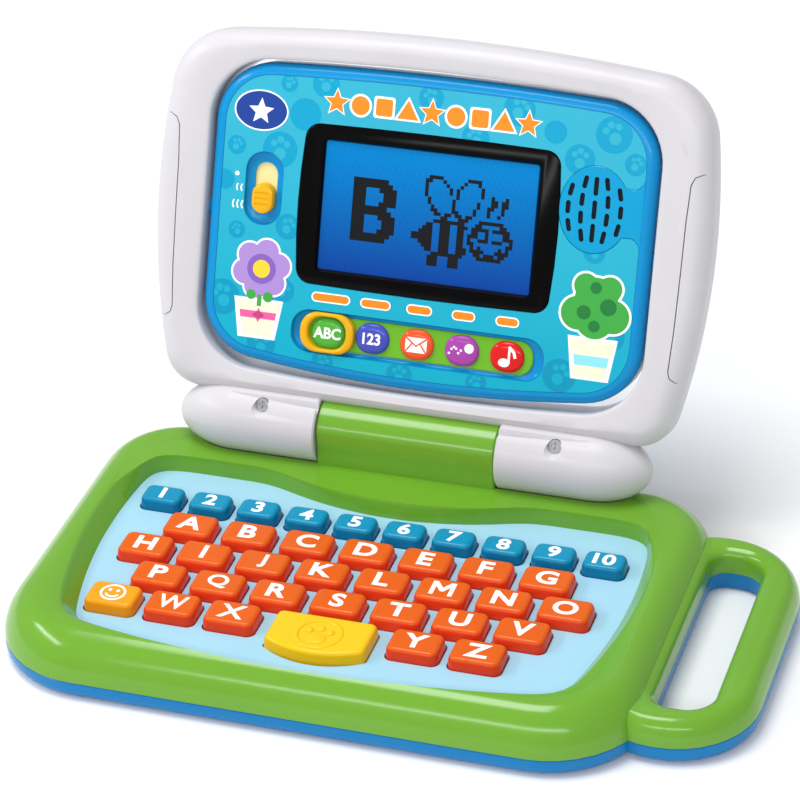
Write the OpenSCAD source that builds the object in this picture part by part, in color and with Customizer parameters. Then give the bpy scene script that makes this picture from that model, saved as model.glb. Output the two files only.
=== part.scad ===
// Toy laptop computer with a carrying handle, a lid on two hinge barrels and a screen unit
// that turns over inside the lid.
// The origin is the middle of the base's flat underside, +Z up, X to the right, Y to the back.

/* [Base] */
// Width of the base without its handle
body_w = 253; // [235:1:304]
// Depth of the base
body_d = 164; // [150:1:200]
// Height of the seam between the two base shells
seam_z = 8; // [7:0.5:10]
// Height of the deck above the surface the toy stands on
deck_z = 25; // [24:0.5:32]
// Corner radius of the base at the front
front_corner = 39; // [24:1:44]
// Corner radius of the base at the back
back_corner = 33; // [20:1:36]
// Rounding of the rim round the deck
rim_round = 10; // [6:0.5:11]
// How far the walls lean in between the seam and the rim
draft = 4; // [1:0.5:5]
// Rounding along the lower edge of the base
foot_round = 5; // [2:0.5:6]
// Wall of the moulded shells
wall = 2.2; // [1.6:0.1:2.6]

/* [Handle] */
// How far the handle stands out from the side of the base
handle_reach = 37.4; // [33:0.2:60]
// Width of the grip bar
grip_w = 15.5; // [12:0.5:20]
// Length of the hand slot
slot_l = 99; // [80:1:104]
// Height of the grip above the surface
handle_z = 18; // [16:0.5:22]
// Corner radius of the handle
handle_corner = 37; // [24:1:38]

/* [Keyboard] */
// Distance between the middles of two letter keys in a row
letter_pitch = 24; // [22.5:0.1:25]
// Distance between two rows of letter keys
row_pitch = 17.2; // [16.8:0.1:18]
// Distance between the middles of two number keys
number_pitch = 20; // [18.5:0.1:21]
// Width of a letter key
letter_w = 20.6; // [16:0.1:21]
// Depth of a letter key
letter_d = 15; // [11:0.1:15.4]
// Width of a number key
number_w = 17; // [13:0.1:17.2]
// Depth of a number key
number_d = 12; // [9:0.1:13]
// Height of the key tops above the key plate
key_rise = 5; // [4:0.1:6]
// How far a key goes down
key_travel = 2; // [1:0.1:2.2]
// Depth of the key plate below the deck
plate_drop = 7; // [6:0.1:9]
// Gap between a key and the edge of its hole
key_gap = 0.4; // [0.3:0.05:0.6]

/* [Hinge] */
// Height of the lid's hinge axis
hinge_z = 35.5; // [35:0.5:45]
// Distance of the hinge axis from the back edge of the base
hinge_in = 12; // [11:0.5:14]
// Radius of the two barrels on the lid
barrel_r = 14.5; // [13.5:0.1:16]
// Width of the knuckle between the barrels
knuckle_w = 73.4; // [60:0.2:90]
// Radius of a hinge pin
pin_r = 4; // [3:0.1:5]
// Angle by which the open lid leans back from upright
lid_lean = 21.7; // [10:0.1:30]

/* [Lid] */
// Width of the lid at its top corners
lid_w = 220.4; // [216:0.2:240]
// Distance from the hinge axis to the top edge of the lid
lid_h = 158.8; // [154:0.1:176]
// Lid front face, measured forwards from the hinge axis
lid_front = 9.6; // [9:0.1:9.9]
// Lid back face, measured backwards from the hinge axis
lid_back = 13; // [12:0.1:15]
// Rounding of the lid's edges
lid_round = 8; // [4:0.5:9]

/* [Screen unit] */
// Width of the screen unit
unit_w = 180; // [175:1:182]
// Height of the screen unit
unit_h = 124.7; // [118:0.1:126]
// Distance from the hinge axis to the turning axis of the screen unit
flip_v = 82.25; // [80:0.05:85]
// Thickness of the screen unit
unit_t = 17.6; // [16:0.1:18.4]
// Width of the display that can be seen
display_w = 87; // [70:1:90]
// Height of the display that can be seen
display_h = 51.4; // [45:0.1:56]
// Distance between two places of the mode ring
mode_pitch = 18.4; // [17:0.1:19]
// Travel of the volume knob
volume_travel = 8; // [5:0.1:8.5]
// Radius of the stub that the screen unit turns on
stub_r = 4; // [3:0.1:4.5]

/* [Batteries] */
// Radius of a cell
cell_r = 7.1; // [6.9:0.1:7.2]
// Length of a cell with its button
cell_l = 50.5; // [44:0.1:51]

/* [Fits] */
// Gap all round a shaft in its bearing
running_gap = 0.05; // [0.02:0.01:0.1]
// Gap between pieces that only clear each other
clear_gap = 0.3; // [0.2:0.05:0.5]
// Gap between the closed lid and the base
lid_gap = 0.5; // [0.4:0.1:0.9]

/* [Hidden] */
$fn = 48;

skin = 0.01;
far = 400;
green = "#84c341";
blue = "#1c7fb5";
white = "#e8e6ea";

// Key plate and keys, from the deck down
plate_z = deck_z - plate_drop;
plate_t = 2;
key_z = plate_z + key_rise;
flange_t = 1.4;
flange_out = 0.9;
flange_z = plate_z - plate_t - 0.2 - flange_t;
plunger_r = 2.6;
plunger_l = 1.6;
sheet_t = 1;
sheet_in = [7, 8];
sheet_z = flange_z - plunger_l - key_travel - 0.2 - sheet_t;
dome_wall = 1.2;
dome_h = plunger_l + 0.1;
board_t = 1.6;
board_in = [5, 6];
board_z = sheet_z - board_t;
row_a = 8.7;
rows = ["abcdefg", "hijklmno", "pqrstuv", "_wx_yz"];
row_starts = [-3, -3.5, -3, -3.5];
bottom_columns = [-3.5, -2.5, -1.5, 0, 1.5, 2.5];
number_row = row_a + row_pitch;
key_corner = 3;
paw_w = 40;
paw_back = 7.4;
paw_front = 17.6;

// Recess that the key plate lies in
recess_front = 68;
recess_back = 49.3;
recess_half = 105;
recess_side_r = 227;
recess_front_r = 450;
recess_mid_y = 11.5;
brow_dip = 11;
brow_half = 53;
brow_r = (brow_half * brow_half + brow_dip * brow_dip) / (2 * brow_dip);
recess_corner = 9;
recess_flare = 5;
flare_back = 12;
flare_tuck = 0.5;

// Hinge
hinge_y = body_d / 2 - hinge_in;
knuckle_r = hinge_in + 0.8;
knuckle_clear_r = knuckle_r + lid_gap;
barrel_u = knuckle_w / 2 + 0.4;
barrel_straight = 36;
barrel_nose = 24.5;
barrel_end = barrel_u + barrel_straight + barrel_nose;
pin_in = 12;
pin_out = 16;
boss_r = pin_r + 3;

// Handle
handle_x = body_w / 2 + handle_reach;
handle_mid_y = 0.5;
handle_d = slot_l + 28;
slot_inner_corner = 7;
slot_outer_corner = 13;
handle_round = 6;

// Screws of the base
screw_r = 1.4;
head_r = 2.7;
head_t = 2;
post_r = 3.4;
case_screw_places = [
    for (s = [-1, 1]) for (y = [-35, 32]) [s * (body_w / 2 - 9.5), y],
    for (s = [-1, 1]) [s * 52, -(body_d / 2 - 9)],
    for (s = [-1, 1]) [s * 100, hinge_y - 7]];

// Battery box in the underside, below the hinge
cell_count = 3;
box_l = cell_count * cell_l + 4.5;
box_d = 2 * cell_r + 1.2;
box_y = hinge_y - 4;
door_t = 1.8;
door_rim = 3;
box_wall = 1.4;
cell_z = door_t + clear_gap + cell_r;
box_top = cell_z + cell_r + clear_gap;

// Lid in its own axes: u to the right, v up from the hinge, w forwards
lid_mid = (lid_front - lid_back) / 2;
lid_t = lid_front + lid_back;
lid_top_corner = 26;
lid_foot_corner = 16;
lid_foot = 10;
lid_foot_half = lid_w / 2 - 4.7;
lid_arch = 4.4;
lid_side_bow = 5.4;
unit_gap = 1.5;
flip_room = 1.9;
opening_corner = 25;
bar_v = hinge_in + lid_gap;
lid_wall = 2;
side_screw_vs = [34, 130];
side_screw_u = unit_w / 2 + unit_gap + 8;
barrel_screw = [60.3, 7.2];
barrel_head_w = 8;

// Screen unit
unit_top = flip_v + unit_h / 2;
unit_foot = flip_v - unit_h / 2;
unit_front = lid_mid + unit_t / 2;
unit_back = lid_mid - unit_t / 2;
unit_corner = 24;
unit_arch = 1.8;
unit_foot_arch = 4.2;
unit_round = 4;
unit_wall = 1.8;
face_inset = 4.6;
face_t = 0.8;
face_clear = 0.15;
display_v = 89.4;
bezel_rim = [8.2, 6];
bezel_t = 1.8;
glass_drop = 1.2;
speaker_at = [66.4, 100.5];
speaker_size = [28, 34];
speaker_r = 17;
volume_at = [-67.6, 93];
volume_dish = [15.5, 29];
volume_slot = [9.4, 20.4];
volume_knob_h = 12;
mode_v = 38.8;
mode_half = 2 * mode_pitch;
mode_dish = [4 * mode_pitch + 30, 17];
ring_size = [22.4, 16.2];
ring_hole = [15.6, 12.8];
dish_depth = 2.6;
dish_floor_t = 0.9;
dish_wall = 1.2;

// ---------- outlines and slabs ----------

// A stadium or rounded rectangle about the origin
module pill(size, r) {
    c = min(r, min(size[0], size[1]) / 2 - skin);
    square([size[0] - 2 * c, size[1]], center = true);
    square([size[0], size[1] - 2 * c], center = true);
    for (x = [-1, 1]) for (y = [-1, 1])
        translate([x * (size[0] / 2 - c), y * (size[1] / 2 - c)]) circle(c);
}

// A box about the origin, given by its half sizes, with one corner radius at the front and one at the back
module soft_box(w, d, front_r, back_r) {
    translate([-w, front_r - d]) square([2 * w, 2 * d - front_r - back_r]);
    translate([front_r - w, -d]) square([2 * (w - front_r), 2 * d - back_r]);
    translate([back_r - w, front_r - d]) square([2 * (w - back_r), 2 * d - front_r]);
    for (s = [-1, 1]) {
        translate([s * (w - front_r), front_r - d]) circle(front_r);
        translate([s * (w - back_r), d - back_r]) circle(back_r);
    }
}

// Outline of the base, drawn in by inset
module body_outline(inset) {
    soft_box(body_w / 2 - inset, body_d / 2 - inset, front_corner - inset, back_corner - inset);
}

// Outline of the handle, which runs back under the side of the base
module handle_outline(inset) {
    start = body_w / 2 - 30;
    translate([(handle_x + start) / 2, handle_mid_y])
        pill([handle_x - start - 2 * inset, handle_d - 2 * inset], handle_corner - inset);
}

// Outline of the hand slot, grown by grow
module slot_outline(grow) {
    slot_w = handle_reach - grip_w;
    translate([body_w / 2 + slot_w / 2, handle_mid_y]) rotate(-90)
        soft_box(slot_l / 2 + grow, slot_w / 2 + grow, slot_inner_corner + grow, slot_outer_corner + grow);
}

// The three bowed sides of the keyboard recess, grown by grow, up to a straight back edge
module recess_bow(grow, back) {
    intersection() {
        translate([0, recess_front_r - recess_front]) circle(recess_front_r + grow, $fn = 180);
        intersection_for (s = [-1, 1])
            translate([s * (recess_half - recess_side_r), recess_mid_y])
                circle(recess_side_r + grow, $fn = 180);
        translate([-far / 2, back - far]) square(far);
    }
}

// Outline of the keyboard recess, grown by grow
module recess_outline(grow) {
    offset(r = recess_corner + grow) offset(delta = -recess_corner) difference() {
        recess_bow(0, recess_back);
        translate([0, recess_back - brow_dip + brow_r]) circle(brow_r, $fn = 90);
    }
}

// The slope from the key plate out to the deck along the front and the sides
module recess_slope() {
    hull() for (z = [plate_z, deck_z]) let (grow = z > plate_z ? recess_flare : -flare_tuck)
        prism(z, z + 1) offset(r = recess_corner + grow) offset(delta = -recess_corner)
            recess_bow(0, recess_back - flare_back);
}

// A slab between two heights whose wall leans in by lean and whose top edge is rounded; its
// outline reads $inset
module round_top(z0, z1, r, lean) {
    hull() {
        let ($inset = 0) translate([0, 0, z0]) linear_extrude(1) children();
        for (a = [0 : 18 : 90]) let ($inset = lean + r * (1 - cos(a)))
            translate([0, 0, z0 + 1]) linear_extrude(z1 - r + r * sin(a) - z0 - 1) children();
    }
}

// A slab between two heights whose bottom edge is rounded; its outline reads $inset
module round_foot(z0, z1, r) {
    hull() for (a = [0 : 22.5 : 90])
        let ($inset = r * (1 - cos(a)), low = z0 + r - r * sin(a), high = a > 0 ? z1 - 1 : z1)
            translate([0, 0, low]) linear_extrude(high - low) children();
}

// A solid between two heights over an outline
module prism(z0, z1) {
    translate([0, 0, z0]) linear_extrude(z1 - z0) children();
}

// Puts lid pieces, drawn with u along X, v up Z and w towards -Y, where the open lid stands
module lid_place() {
    translate([0, hinge_y, hinge_z]) rotate([-lid_lean, 0, 0]) children();
}

// Turns an outline in u and v into a panel from w0 to w1
module panel(w0, w1) {
    translate([0, -w0, 0]) rotate([90, 0, 0]) linear_extrude(w1 - w0) children();
}

// A cylinder along w, at [u, v], from w0 to w1
module rod_w(at, r, w0, w1) {
    translate([at[0], -w0, at[1]]) rotate([90, 0, 0]) cylinder(r = r, h = w1 - w0);
}

// A cylinder along X between two places
module rod_x(r, x0, x1) {
    translate([x0, 0, 0]) rotate([0, 90, 0]) cylinder(r = r, h = x1 - x0);
}

// Everything forwards of w, or behind it
module before(w) {
    translate([-far / 2, -w - far, -far / 2]) cube(far);
}
module behind(w) {
    translate([-far / 2, -w, -far / 2]) cube(far);
}

// ---------- base ----------

module knuckle() {
    difference() {
        translate([0, hinge_y, hinge_z]) {
            intersection() {
                rod_x(knuckle_r, -knuckle_w / 2, knuckle_w / 2);
                translate([-knuckle_w / 2, -hinge_in, -knuckle_r])
                    cube([knuckle_w, 2 * hinge_in, 2 * knuckle_r]);
            }
            translate([-knuckle_w / 2, -hinge_in, seam_z - hinge_z])
                cube([knuckle_w, 2 * hinge_in, hinge_z - seam_z]);
        }
        prism(0, box_top + box_wall + clear_gap) battery_frame(box_wall + clear_gap);
    }
}

// Solid of revolution that a barrel and its trough are made from, grown by grow
module barrel_pair(grow) {
    for (s = [0, 1]) mirror([s, 0, 0])
        rotate([0, 90, 0]) rotate_extrude()
            polygon([[0, barrel_u - grow], [barrel_r + grow, barrel_u - grow],
                for (a = [0 : 10 : 90]) [(barrel_r + grow) * cos(a),
                    barrel_u + barrel_straight + (barrel_nose + grow) * sin(a)]]);
}

module screw_posts(z0, z1, r) {
    for (p = case_screw_places) translate([p[0], p[1], z0]) cylinder(r = r, h = z1 - z0);
}

module base_top_shell() {
    color(green) difference() {
        union() {
            difference() {
                union() {
                    round_top(seam_z, deck_z, rim_round, draft) body_outline($inset);
                    round_top(seam_z, handle_z, handle_round, 0) handle_outline($inset);
                }
                difference() {
                    union() {
                        round_top(seam_z - 1, deck_z - wall, rim_round - wall, draft)
                            body_outline(wall + $inset);
                        round_top(seam_z - 1, handle_z - wall, handle_round - wall, 0)
                            handle_outline(wall + $inset);
                    }
                    prism(plate_z, deck_z) recess_outline(wall + recess_flare);
                    prism(seam_z - 1, deck_z) slot_outline(wall);
                    translate([0, hinge_y, hinge_z]) barrel_pair(lid_gap + wall);
                    screw_posts(seam_z, deck_z - 1, post_r);
                }
            }
            knuckle();
        }
        prism(plate_z - 3, deck_z + 1) recess_outline(0);
        recess_slope();
        prism(seam_z - 1, deck_z) slot_outline(0);
        translate([0, hinge_y, hinge_z]) {
            barrel_pair(lid_gap);
            rod_x(knuckle_r - 2.6, pin_in - knuckle_w / 2, knuckle_w / 2 - pin_in);
            rod_x(pin_r, -knuckle_w / 2 - 1, knuckle_w / 2 + 1);
        }
        screw_posts(seam_z - 1, seam_z + 7, screw_r);
    }
}

module battery_frame(grow) {
    translate([0, box_y]) square([box_l + 2 * grow, box_d + 2 * grow], center = true);
}

module base_bottom_shell() {
    floor_t = wall;
    color(blue) difference() {
        union() {
            difference() {
                union() {
                    round_foot(0, seam_z, foot_round) body_outline($inset);
                    round_foot(0, seam_z, foot_round) handle_outline($inset);
                }
                difference() {
                    union() {
                        prism(floor_t, seam_z + 1) body_outline(wall + foot_round / 2);
                        prism(floor_t, seam_z + 1) handle_outline(wall + foot_round / 2);
                    }
                    prism(0, seam_z + 1) slot_outline(wall);
                    screw_posts(0, seam_z, post_r);
                    prism(0, seam_z + 1) battery_frame(door_rim + wall);
                }
            }
            prism(0, box_top + box_wall) battery_frame(box_wall);
            for (x = [-80, -40, 0, 40, 80]) for (y = [-50, 35])
                translate([x, y, floor_t - skin]) cylinder(r = 2.5, h = board_z - floor_t + skin);
        }
        prism(-1, seam_z + 1) slot_outline(0);
        prism(-1, door_t) battery_frame(door_rim);
        prism(0, box_top) battery_frame(0);
        prism(door_t + wall, seam_z + 1) difference() {
            battery_frame(door_rim + wall + skin);
            battery_frame(box_wall);
        }
        screw_posts(-1, seam_z + 1, screw_r + clear_gap);
        screw_posts(-1, head_t + 0.6, head_r + clear_gap);
    }
}

module keyboard_plate() {
    color("#aedbec") difference() {
        prism(plate_z - plate_t, plate_z) recess_outline(wall - clear_gap);
        prism(plate_z - plate_t - 1, plate_z + 1) key_field(key_gap);
    }
}

// All key outlines, grown by grow
module key_field(grow) {
    for (i = [0 : 9]) translate(number_at(i)) number_outline(grow);
    for (k = letters()) translate(k[1]) letter_outline(grow);
    translate(smile_at()) letter_outline(grow);
    translate(paw_at()) paw_outline(grow);
}

module plunger_field(r) {
    for (i = [0 : 9]) translate(number_at(i)) circle(r);
    for (k = letters()) translate(k[1]) circle(r);
    translate(smile_at()) circle(r);
    translate(paw_at()) circle(r);
}

module dome_sheet() {
    color("#d8d8d0") {
        prism(sheet_z, sheet_z + sheet_t) difference() {
            translate([0, (recess_back - recess_front) / 2])
                square([2 * (recess_half - sheet_in[0]), recess_front + recess_back - 2 * sheet_in[1]],
                    center = true);
            translate([0, recess_back - brow_dip + brow_r]) circle(brow_r - 1, $fn = 90);
        }
        prism(sheet_z + sheet_t, sheet_z + sheet_t + dome_h) difference() {
            plunger_field(plunger_r + clear_gap + dome_wall);
            plunger_field(plunger_r + clear_gap);
        }
    }
}

module keyboard_board() {
    color("#1e6b3a") prism(board_z, sheet_z) difference() {
        translate([0, (recess_back - recess_front) / 2])
            square([2 * (recess_half - board_in[0]), recess_front + recess_back - 2 * board_in[1]],
                center = true);
        translate([0, recess_back - brow_dip + brow_r]) circle(brow_r - 1, $fn = 90);
    }
}

module battery_door() {
    color(blue) difference() {
        prism(0, door_t) battery_frame(door_rim - clear_gap);
        for (i = [-4 : 4]) translate([box_l / 2 - 22 + 2.4 * i, box_y, -skin])
            linear_extrude(0.6) pill([1.2, box_d - 4], 0.6);
    }
}

module battery_cells() {
    color("#c9a227") translate([-box_l / 2 + 3.8, box_y, cell_z]) for (i = [0 : cell_count - 1])
        translate([i * cell_l, 0, 0]) rotate([0, 90, 0]) {
            cylinder(r = cell_r, h = cell_l - 1.4);
            cylinder(r = 2.7, h = cell_l);
        }
}

module battery_contacts() {
    color("silver") translate([0, box_y, cell_z]) {
        rotate([0, 90, 0]) translate([0, 0, -box_l / 2]) {
            cylinder(r = 6, h = 0.4);
            for (i = [0 : 3]) translate([0, 0, 0.7 + 0.8 * i]) rotate_extrude()
                translate([4.6 - 0.6 * i, 0]) circle(0.5, $fn = 16);
        }
        rod_x(6, box_l / 2 - 0.6, box_l / 2);
    }
}

module screw(r, h) {
    difference() {
        union() {
            cylinder(r = head_r, h = head_t);
            cylinder(r = r, h = h);
        }
        for (a = [0, 90]) rotate(a) translate([-1.6, -0.4, -skin]) cube([3.2, 0.8, 1.1]);
    }
}

module case_screws() {
    color("silver") for (p = case_screw_places)
        translate([p[0], p[1], 0.6]) screw(screw_r, seam_z + 5.5);
}

module hinge_pins() {
    color("silver") translate([0, hinge_y, hinge_z]) for (s = [0, 1]) mirror([s, 0, 0])
        rod_x(pin_r, knuckle_w / 2 - pin_in, barrel_u + pin_out);
}

// ---------- keys ----------

function number_at(i) = [(i - 4.5) * number_pitch, number_row];
function letters() = [
    for (r = [0 : 2]) for (c = [0 : len(rows[r]) - 1])
        [rows[r][c], [(row_starts[r] + c) * letter_pitch, row_a - r * row_pitch]],
    for (c = [1 : 5]) if (rows[3][c] != "_")
        [rows[3][c], [bottom_columns[c] * letter_pitch, row_a - 3 * row_pitch]]];
function smile_at() = [bottom_columns[0] * letter_pitch, row_a - 3 * row_pitch];
function paw_at() = [0, row_a - 3 * row_pitch];

module letter_outline(grow) {
    pill([letter_w + 2 * grow, letter_d + 2 * grow], key_corner + grow);
}

module number_outline(grow) {
    pill([number_w + 2 * grow, number_d + 2 * grow], key_corner + grow);
}

// The wide button: straight at the back, bowed at the front
module paw_outline(grow) {
    bow_r = 34;
    intersection() {
        translate([0, (paw_back - paw_front - 6) / 2])
            pill([paw_w + 2 * grow, paw_back + paw_front + 6 + 2 * grow], key_corner + grow);
        translate([0, bow_r - paw_front]) circle(bow_r + grow, $fn = 90);
    }
}

// A key: cap with an eased top, a flange under the plate and a plunger
module key(tint) {
    color(tint) {
        hull() {
            let ($grow = 0) prism(plate_z, key_z - 1.2) children();
            let ($grow = -0.5) prism(key_z - 0.5, key_z - 0.49) children();
            let ($grow = -1.4) prism(key_z - skin, key_z) children();
        }
        let ($grow = 0) prism(flange_z + skin, plate_z) children();
        let ($grow = flange_out) prism(flange_z, flange_z + flange_t) children();
        translate([0, 0, flange_z - plunger_l]) cylinder(r = plunger_r, h = plunger_l + skin, $fn = 24);
    }
}

module number_key(i) {
    translate(number_at(i)) key("#0f98c0") number_outline($grow, $fn = 20);
}

module letter_key(k) {
    translate(k[1]) key("#f06a1c") letter_outline($grow, $fn = 20);
}

module key_smile() {
    translate(smile_at()) key("#f9a51a") letter_outline($grow, $fn = 20);
}

module key_paw() {
    translate(paw_at()) key("#f4c816") paw_outline($grow, $fn = 20);
}

// ---------- lid ----------

// Marks of the lid's outline, which hull() joins
module lid_outline(inset) {
    top_u = lid_w / 2 - lid_top_corner;
    side_top = lid_h - lid_arch - lid_top_corner;
    side_foot = lid_foot + lid_foot_corner;
    for (s = [-1, 1]) {
        translate([s * top_u, side_top]) circle(lid_top_corner - inset);
        translate([s * (lid_foot_half - lid_foot_corner), side_foot]) circle(lid_foot_corner - inset);
        polygon([[0, lid_h / 2], for (t = [0.15 : 0.14 : 0.86])
            [s * (lid_foot_half + t * (lid_w / 2 - lid_foot_half) + 4 * lid_side_bow * t * (1 - t) - inset),
                side_foot + t * (side_top - side_foot)]]);
    }
    polygon([[-top_u / 2, lid_h / 2], for (i = [-4 : 4])
        [i * top_u / 5, lid_h - inset - lid_arch * i * i / 25], [top_u / 2, lid_h / 2]]);
}

// The lid's rounded solid, drawn in by inset
module lid_solid(inset) {
    r = lid_round - inset;
    half = lid_t / 2 - inset;
    hull() for (a = [0 : 22.5 : 90]) let (t = half - r + r * sin(a))
        panel(lid_mid - t, lid_mid + t) lid_outline(inset + r * (1 - cos(a)));
}

// Opening for the screen unit, which lets it turn over both ways; grown by grow
module opening_outline(grow) {
    half = unit_h / 2 + flip_room;
    arch_r = 1100;
    intersection() {
        translate([0, flip_v])
            pill([unit_w + 2 * (unit_gap + grow), 2 * (half + grow)], opening_corner + grow);
        translate([0, flip_v + half - arch_r]) circle(arch_r + grow, $fn = 360);
        translate([0, flip_v - half + arch_r]) circle(arch_r + grow, $fn = 360);
    }
}

// Block in the lid's side that holds the stub of the screen unit
module stub_block(grow) {
    inner = unit_w / 2 + unit_gap;
    for (s = [-1, 1]) translate([s * (inner + 3), -lid_mid, flip_v])
        cube([6 + 2 * grow, 2 * (stub_r + 3 + grow), 2 * (stub_r + 4 + grow)], center = true);
}

module lid_shell() {
    difference() {
        union() {
            lid_solid(0);
            barrel_pair(0);
        }
        difference() {
            union() {
                lid_solid(lid_wall);
                barrel_pair(-lid_wall);
            }
            panel(-far, far) opening_outline(lid_wall);
            translate([-barrel_u - lid_wall, -far / 2, -barrel_r])
                cube([2 * (barrel_u + lid_wall), far, barrel_r + bar_v + 5]);
            for (s = [-1, 1]) {
                for (v = side_screw_vs) rod_w([s * side_screw_u, v], post_r, -far, far);
                rod_w([s * barrel_screw[0], barrel_screw[1]], post_r, -far, far);
            }
        }
        panel(-far / 2, far / 2) opening_outline(0);
        rod_x(knuckle_clear_r, -barrel_u, barrel_u);
        translate([-barrel_u, -far / 2, -far]) cube([2 * barrel_u, far, far + bar_v]);
    }
}

module lid_front_frame() {
    color(white) lid_place() difference() {
        intersection() {
            lid_shell();
            before(lid_mid);
        }
        stub_block(clear_gap);
        rod_x(boss_r + clear_gap, -barrel_u - pin_out - 3, barrel_u + pin_out + 3);
        for (s = [-1, 1]) {
            rod_w([s * barrel_screw[0], barrel_screw[1]], screw_r + clear_gap, -far, far);
            rod_w([s * barrel_screw[0], barrel_screw[1]], head_r + clear_gap, barrel_head_w, far);
            for (v = side_screw_vs) rod_w([s * side_screw_u, v], screw_r, lid_mid - 1, lid_mid + 7);
        }
    }
}

module lid_rear_frame() {
    color(white) lid_place() difference() {
        union() {
            intersection() {
                lid_shell();
                behind(lid_mid);
            }
            stub_block(0);
            for (s = [0, 1]) mirror([s, 0, 0]) {
                rod_x(boss_r, barrel_u, barrel_u + pin_out + 2);
                translate([barrel_u, 0, -3]) cube([pin_out + 2, barrel_r - 1.2, 6]);
            }
        }
        rod_x(pin_r + running_gap, -barrel_u - pin_out - far, barrel_u + pin_out + 0.5);
        rod_x(pin_r + running_gap, -barrel_u - pin_out - 0.5, far);
        translate([0, -lid_mid, flip_v]) rod_x(stub_r + running_gap, -unit_w / 2 - 6, unit_w / 2 + 6);
        for (s = [-1, 1]) {
            rod_w([s * barrel_screw[0], barrel_screw[1]], screw_r, -lid_back + 4, far);
            for (v = side_screw_vs) {
                rod_w([s * side_screw_u, v], screw_r + clear_gap, -far, far);
                rod_w([s * side_screw_u, v], head_r + clear_gap, -far, -lid_back + 3.2);
            }
        }
    }
}

module lid_screws() {
    color("silver") lid_place() for (s = [-1, 1]) {
        translate([s * barrel_screw[0], -barrel_head_w - head_t, barrel_screw[1]])
            rotate([-90, 0, 0]) screw(screw_r, barrel_head_w + lid_back - 3);
        for (v = side_screw_vs)
            translate([s * side_screw_u, lid_back - 3.2 + head_t, v])
                rotate([90, 0, 0]) screw(screw_r, lid_back + lid_mid + 4);
    }
}

// ---------- screen unit ----------

// Marks of the screen unit's outline, which hull() joins
module unit_outline(inset) {
    u = unit_w / 2 - unit_corner;
    for (s = [-1, 1]) {
        translate([s * u, unit_top - unit_arch - unit_corner]) circle(unit_corner - inset);
        translate([s * u, unit_foot + unit_foot_arch + unit_corner]) circle(unit_corner - inset);
    }
    polygon([for (i = [-4 : 4]) [i * u / 5, unit_top - inset - unit_arch * i * i / 25],
        for (i = [4 : -1 : -4]) [i * u / 5, unit_foot + inset + unit_foot_arch * i * i / 25]]);
}

// The screen unit's rounded solid, drawn in by inset
module unit_solid(inset) {
    r = unit_round - inset;
    half = unit_t / 2 - inset;
    hull() for (a = [0 : 22.5 : 90]) let (t = half - r + r * sin(a))
        panel(lid_mid - t, lid_mid + t) unit_outline(inset + r * (1 - cos(a)));
}

module bezel_outline(grow) {
    translate([0, display_v])
        pill([display_w + 2 * (bezel_rim[0] + grow), display_h + 2 * (bezel_rim[1] + grow)], 6 + grow);
}

module display_outline() {
    translate([0, display_v]) square([display_w, display_h], center = true);
}

// Speaker island: an oval with a neck that runs to the unit's right edge
module speaker_outline(grow) {
    translate(speaker_at) {
        pill(speaker_size + [2 * grow, 2 * grow], speaker_size[0] / 2 + grow);
        translate([0, -9 - grow]) square([unit_w / 2 - face_inset - speaker_at[0] + 1, 18 + 2 * grow]);
    }
}

module volume_outline(grow) {
    translate(volume_at) pill(volume_dish + [2 * grow, 2 * grow], volume_dish[0]);
}

module mode_outline(grow) {
    translate([0, mode_v]) pill(mode_dish + [2 * grow, 2 * grow], mode_dish[1]);
}

// Five columns of slots that lie along ovals round the middle of the speaker
module speaker_slots() {
    columns = [[-2, 3, 5.2], [-1, 4, 5.2], [0, 3, 7.4], [1, 4, 5.2], [2, 3, 5.2]];
    oval_h = 19;
    column_pitch = 5.2;
    slot_gap = 1.7;
    translate(speaker_at) for (c = columns) for (i = [0 : c[1] - 1])
        let (a = asin((i - (c[1] - 1) / 2) * (c[2] + slot_gap) / oval_h), x = c[0] * column_pitch)
            translate([x * cos(a), oval_h * sin(a)]) rotate(atan2(x * sin(a), oval_h * cos(a)))
                pill([1.9, c[2]], 0.95);
}

module face_outline() {
    hull() unit_outline(face_inset);
}

module unit_front_shell() {
    pocket_w = unit_front - face_t;
    floor_w = pocket_w - unit_wall;
    color("#0fa0dc") lid_place() difference() {
        intersection() {
            unit_solid(0);
            before(lid_mid);
        }
        difference() {
            intersection() {
                unit_solid(unit_wall);
                behind(floor_w);
            }
            panel(unit_front - dish_depth - dish_floor_t, unit_front) {
                volume_outline(dish_wall);
                mode_outline(dish_wall);
            }
        }
        translate([0, -lid_mid, flip_v]) rod_x(stub_r + clear_gap, -unit_w, unit_w);
        panel(pocket_w, unit_front + 1) difference() {
            face_outline();
            speaker_outline(0);
        }
        panel(-far, far) bezel_outline(-1.6);
        panel(unit_front - bezel_t, unit_front + 1) bezel_outline(face_clear);
        panel(unit_front - dish_depth, unit_front + 1) {
            volume_outline(0);
            mode_outline(0);
        }
        panel(0, far) translate(volume_at) pill(volume_slot, volume_slot[0]);
        panel(unit_front - dish_depth, unit_front - dish_depth + 1)
            translate([0, mode_v]) pill(mode_dish + [-6, 2], 2);
        panel(0, far) speaker_slots();
    }
}

module unit_rear_shell() {
    color("#0fa0dc") lid_place() {
        difference() {
            intersection() {
                unit_solid(0);
                behind(lid_mid);
            }
            unit_solid(unit_wall);
            panel(-far, far) translate([-speaker_at[0], speaker_at[1] - 45]) pill([34, 1.6], 0.8);
        }
        for (s = [0, 1]) mirror([s, 0, 0]) translate([0, -lid_mid, flip_v])
            rod_x(stub_r, unit_w / 2 - unit_wall, unit_w / 2 + unit_gap + 4);
    }
}

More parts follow.
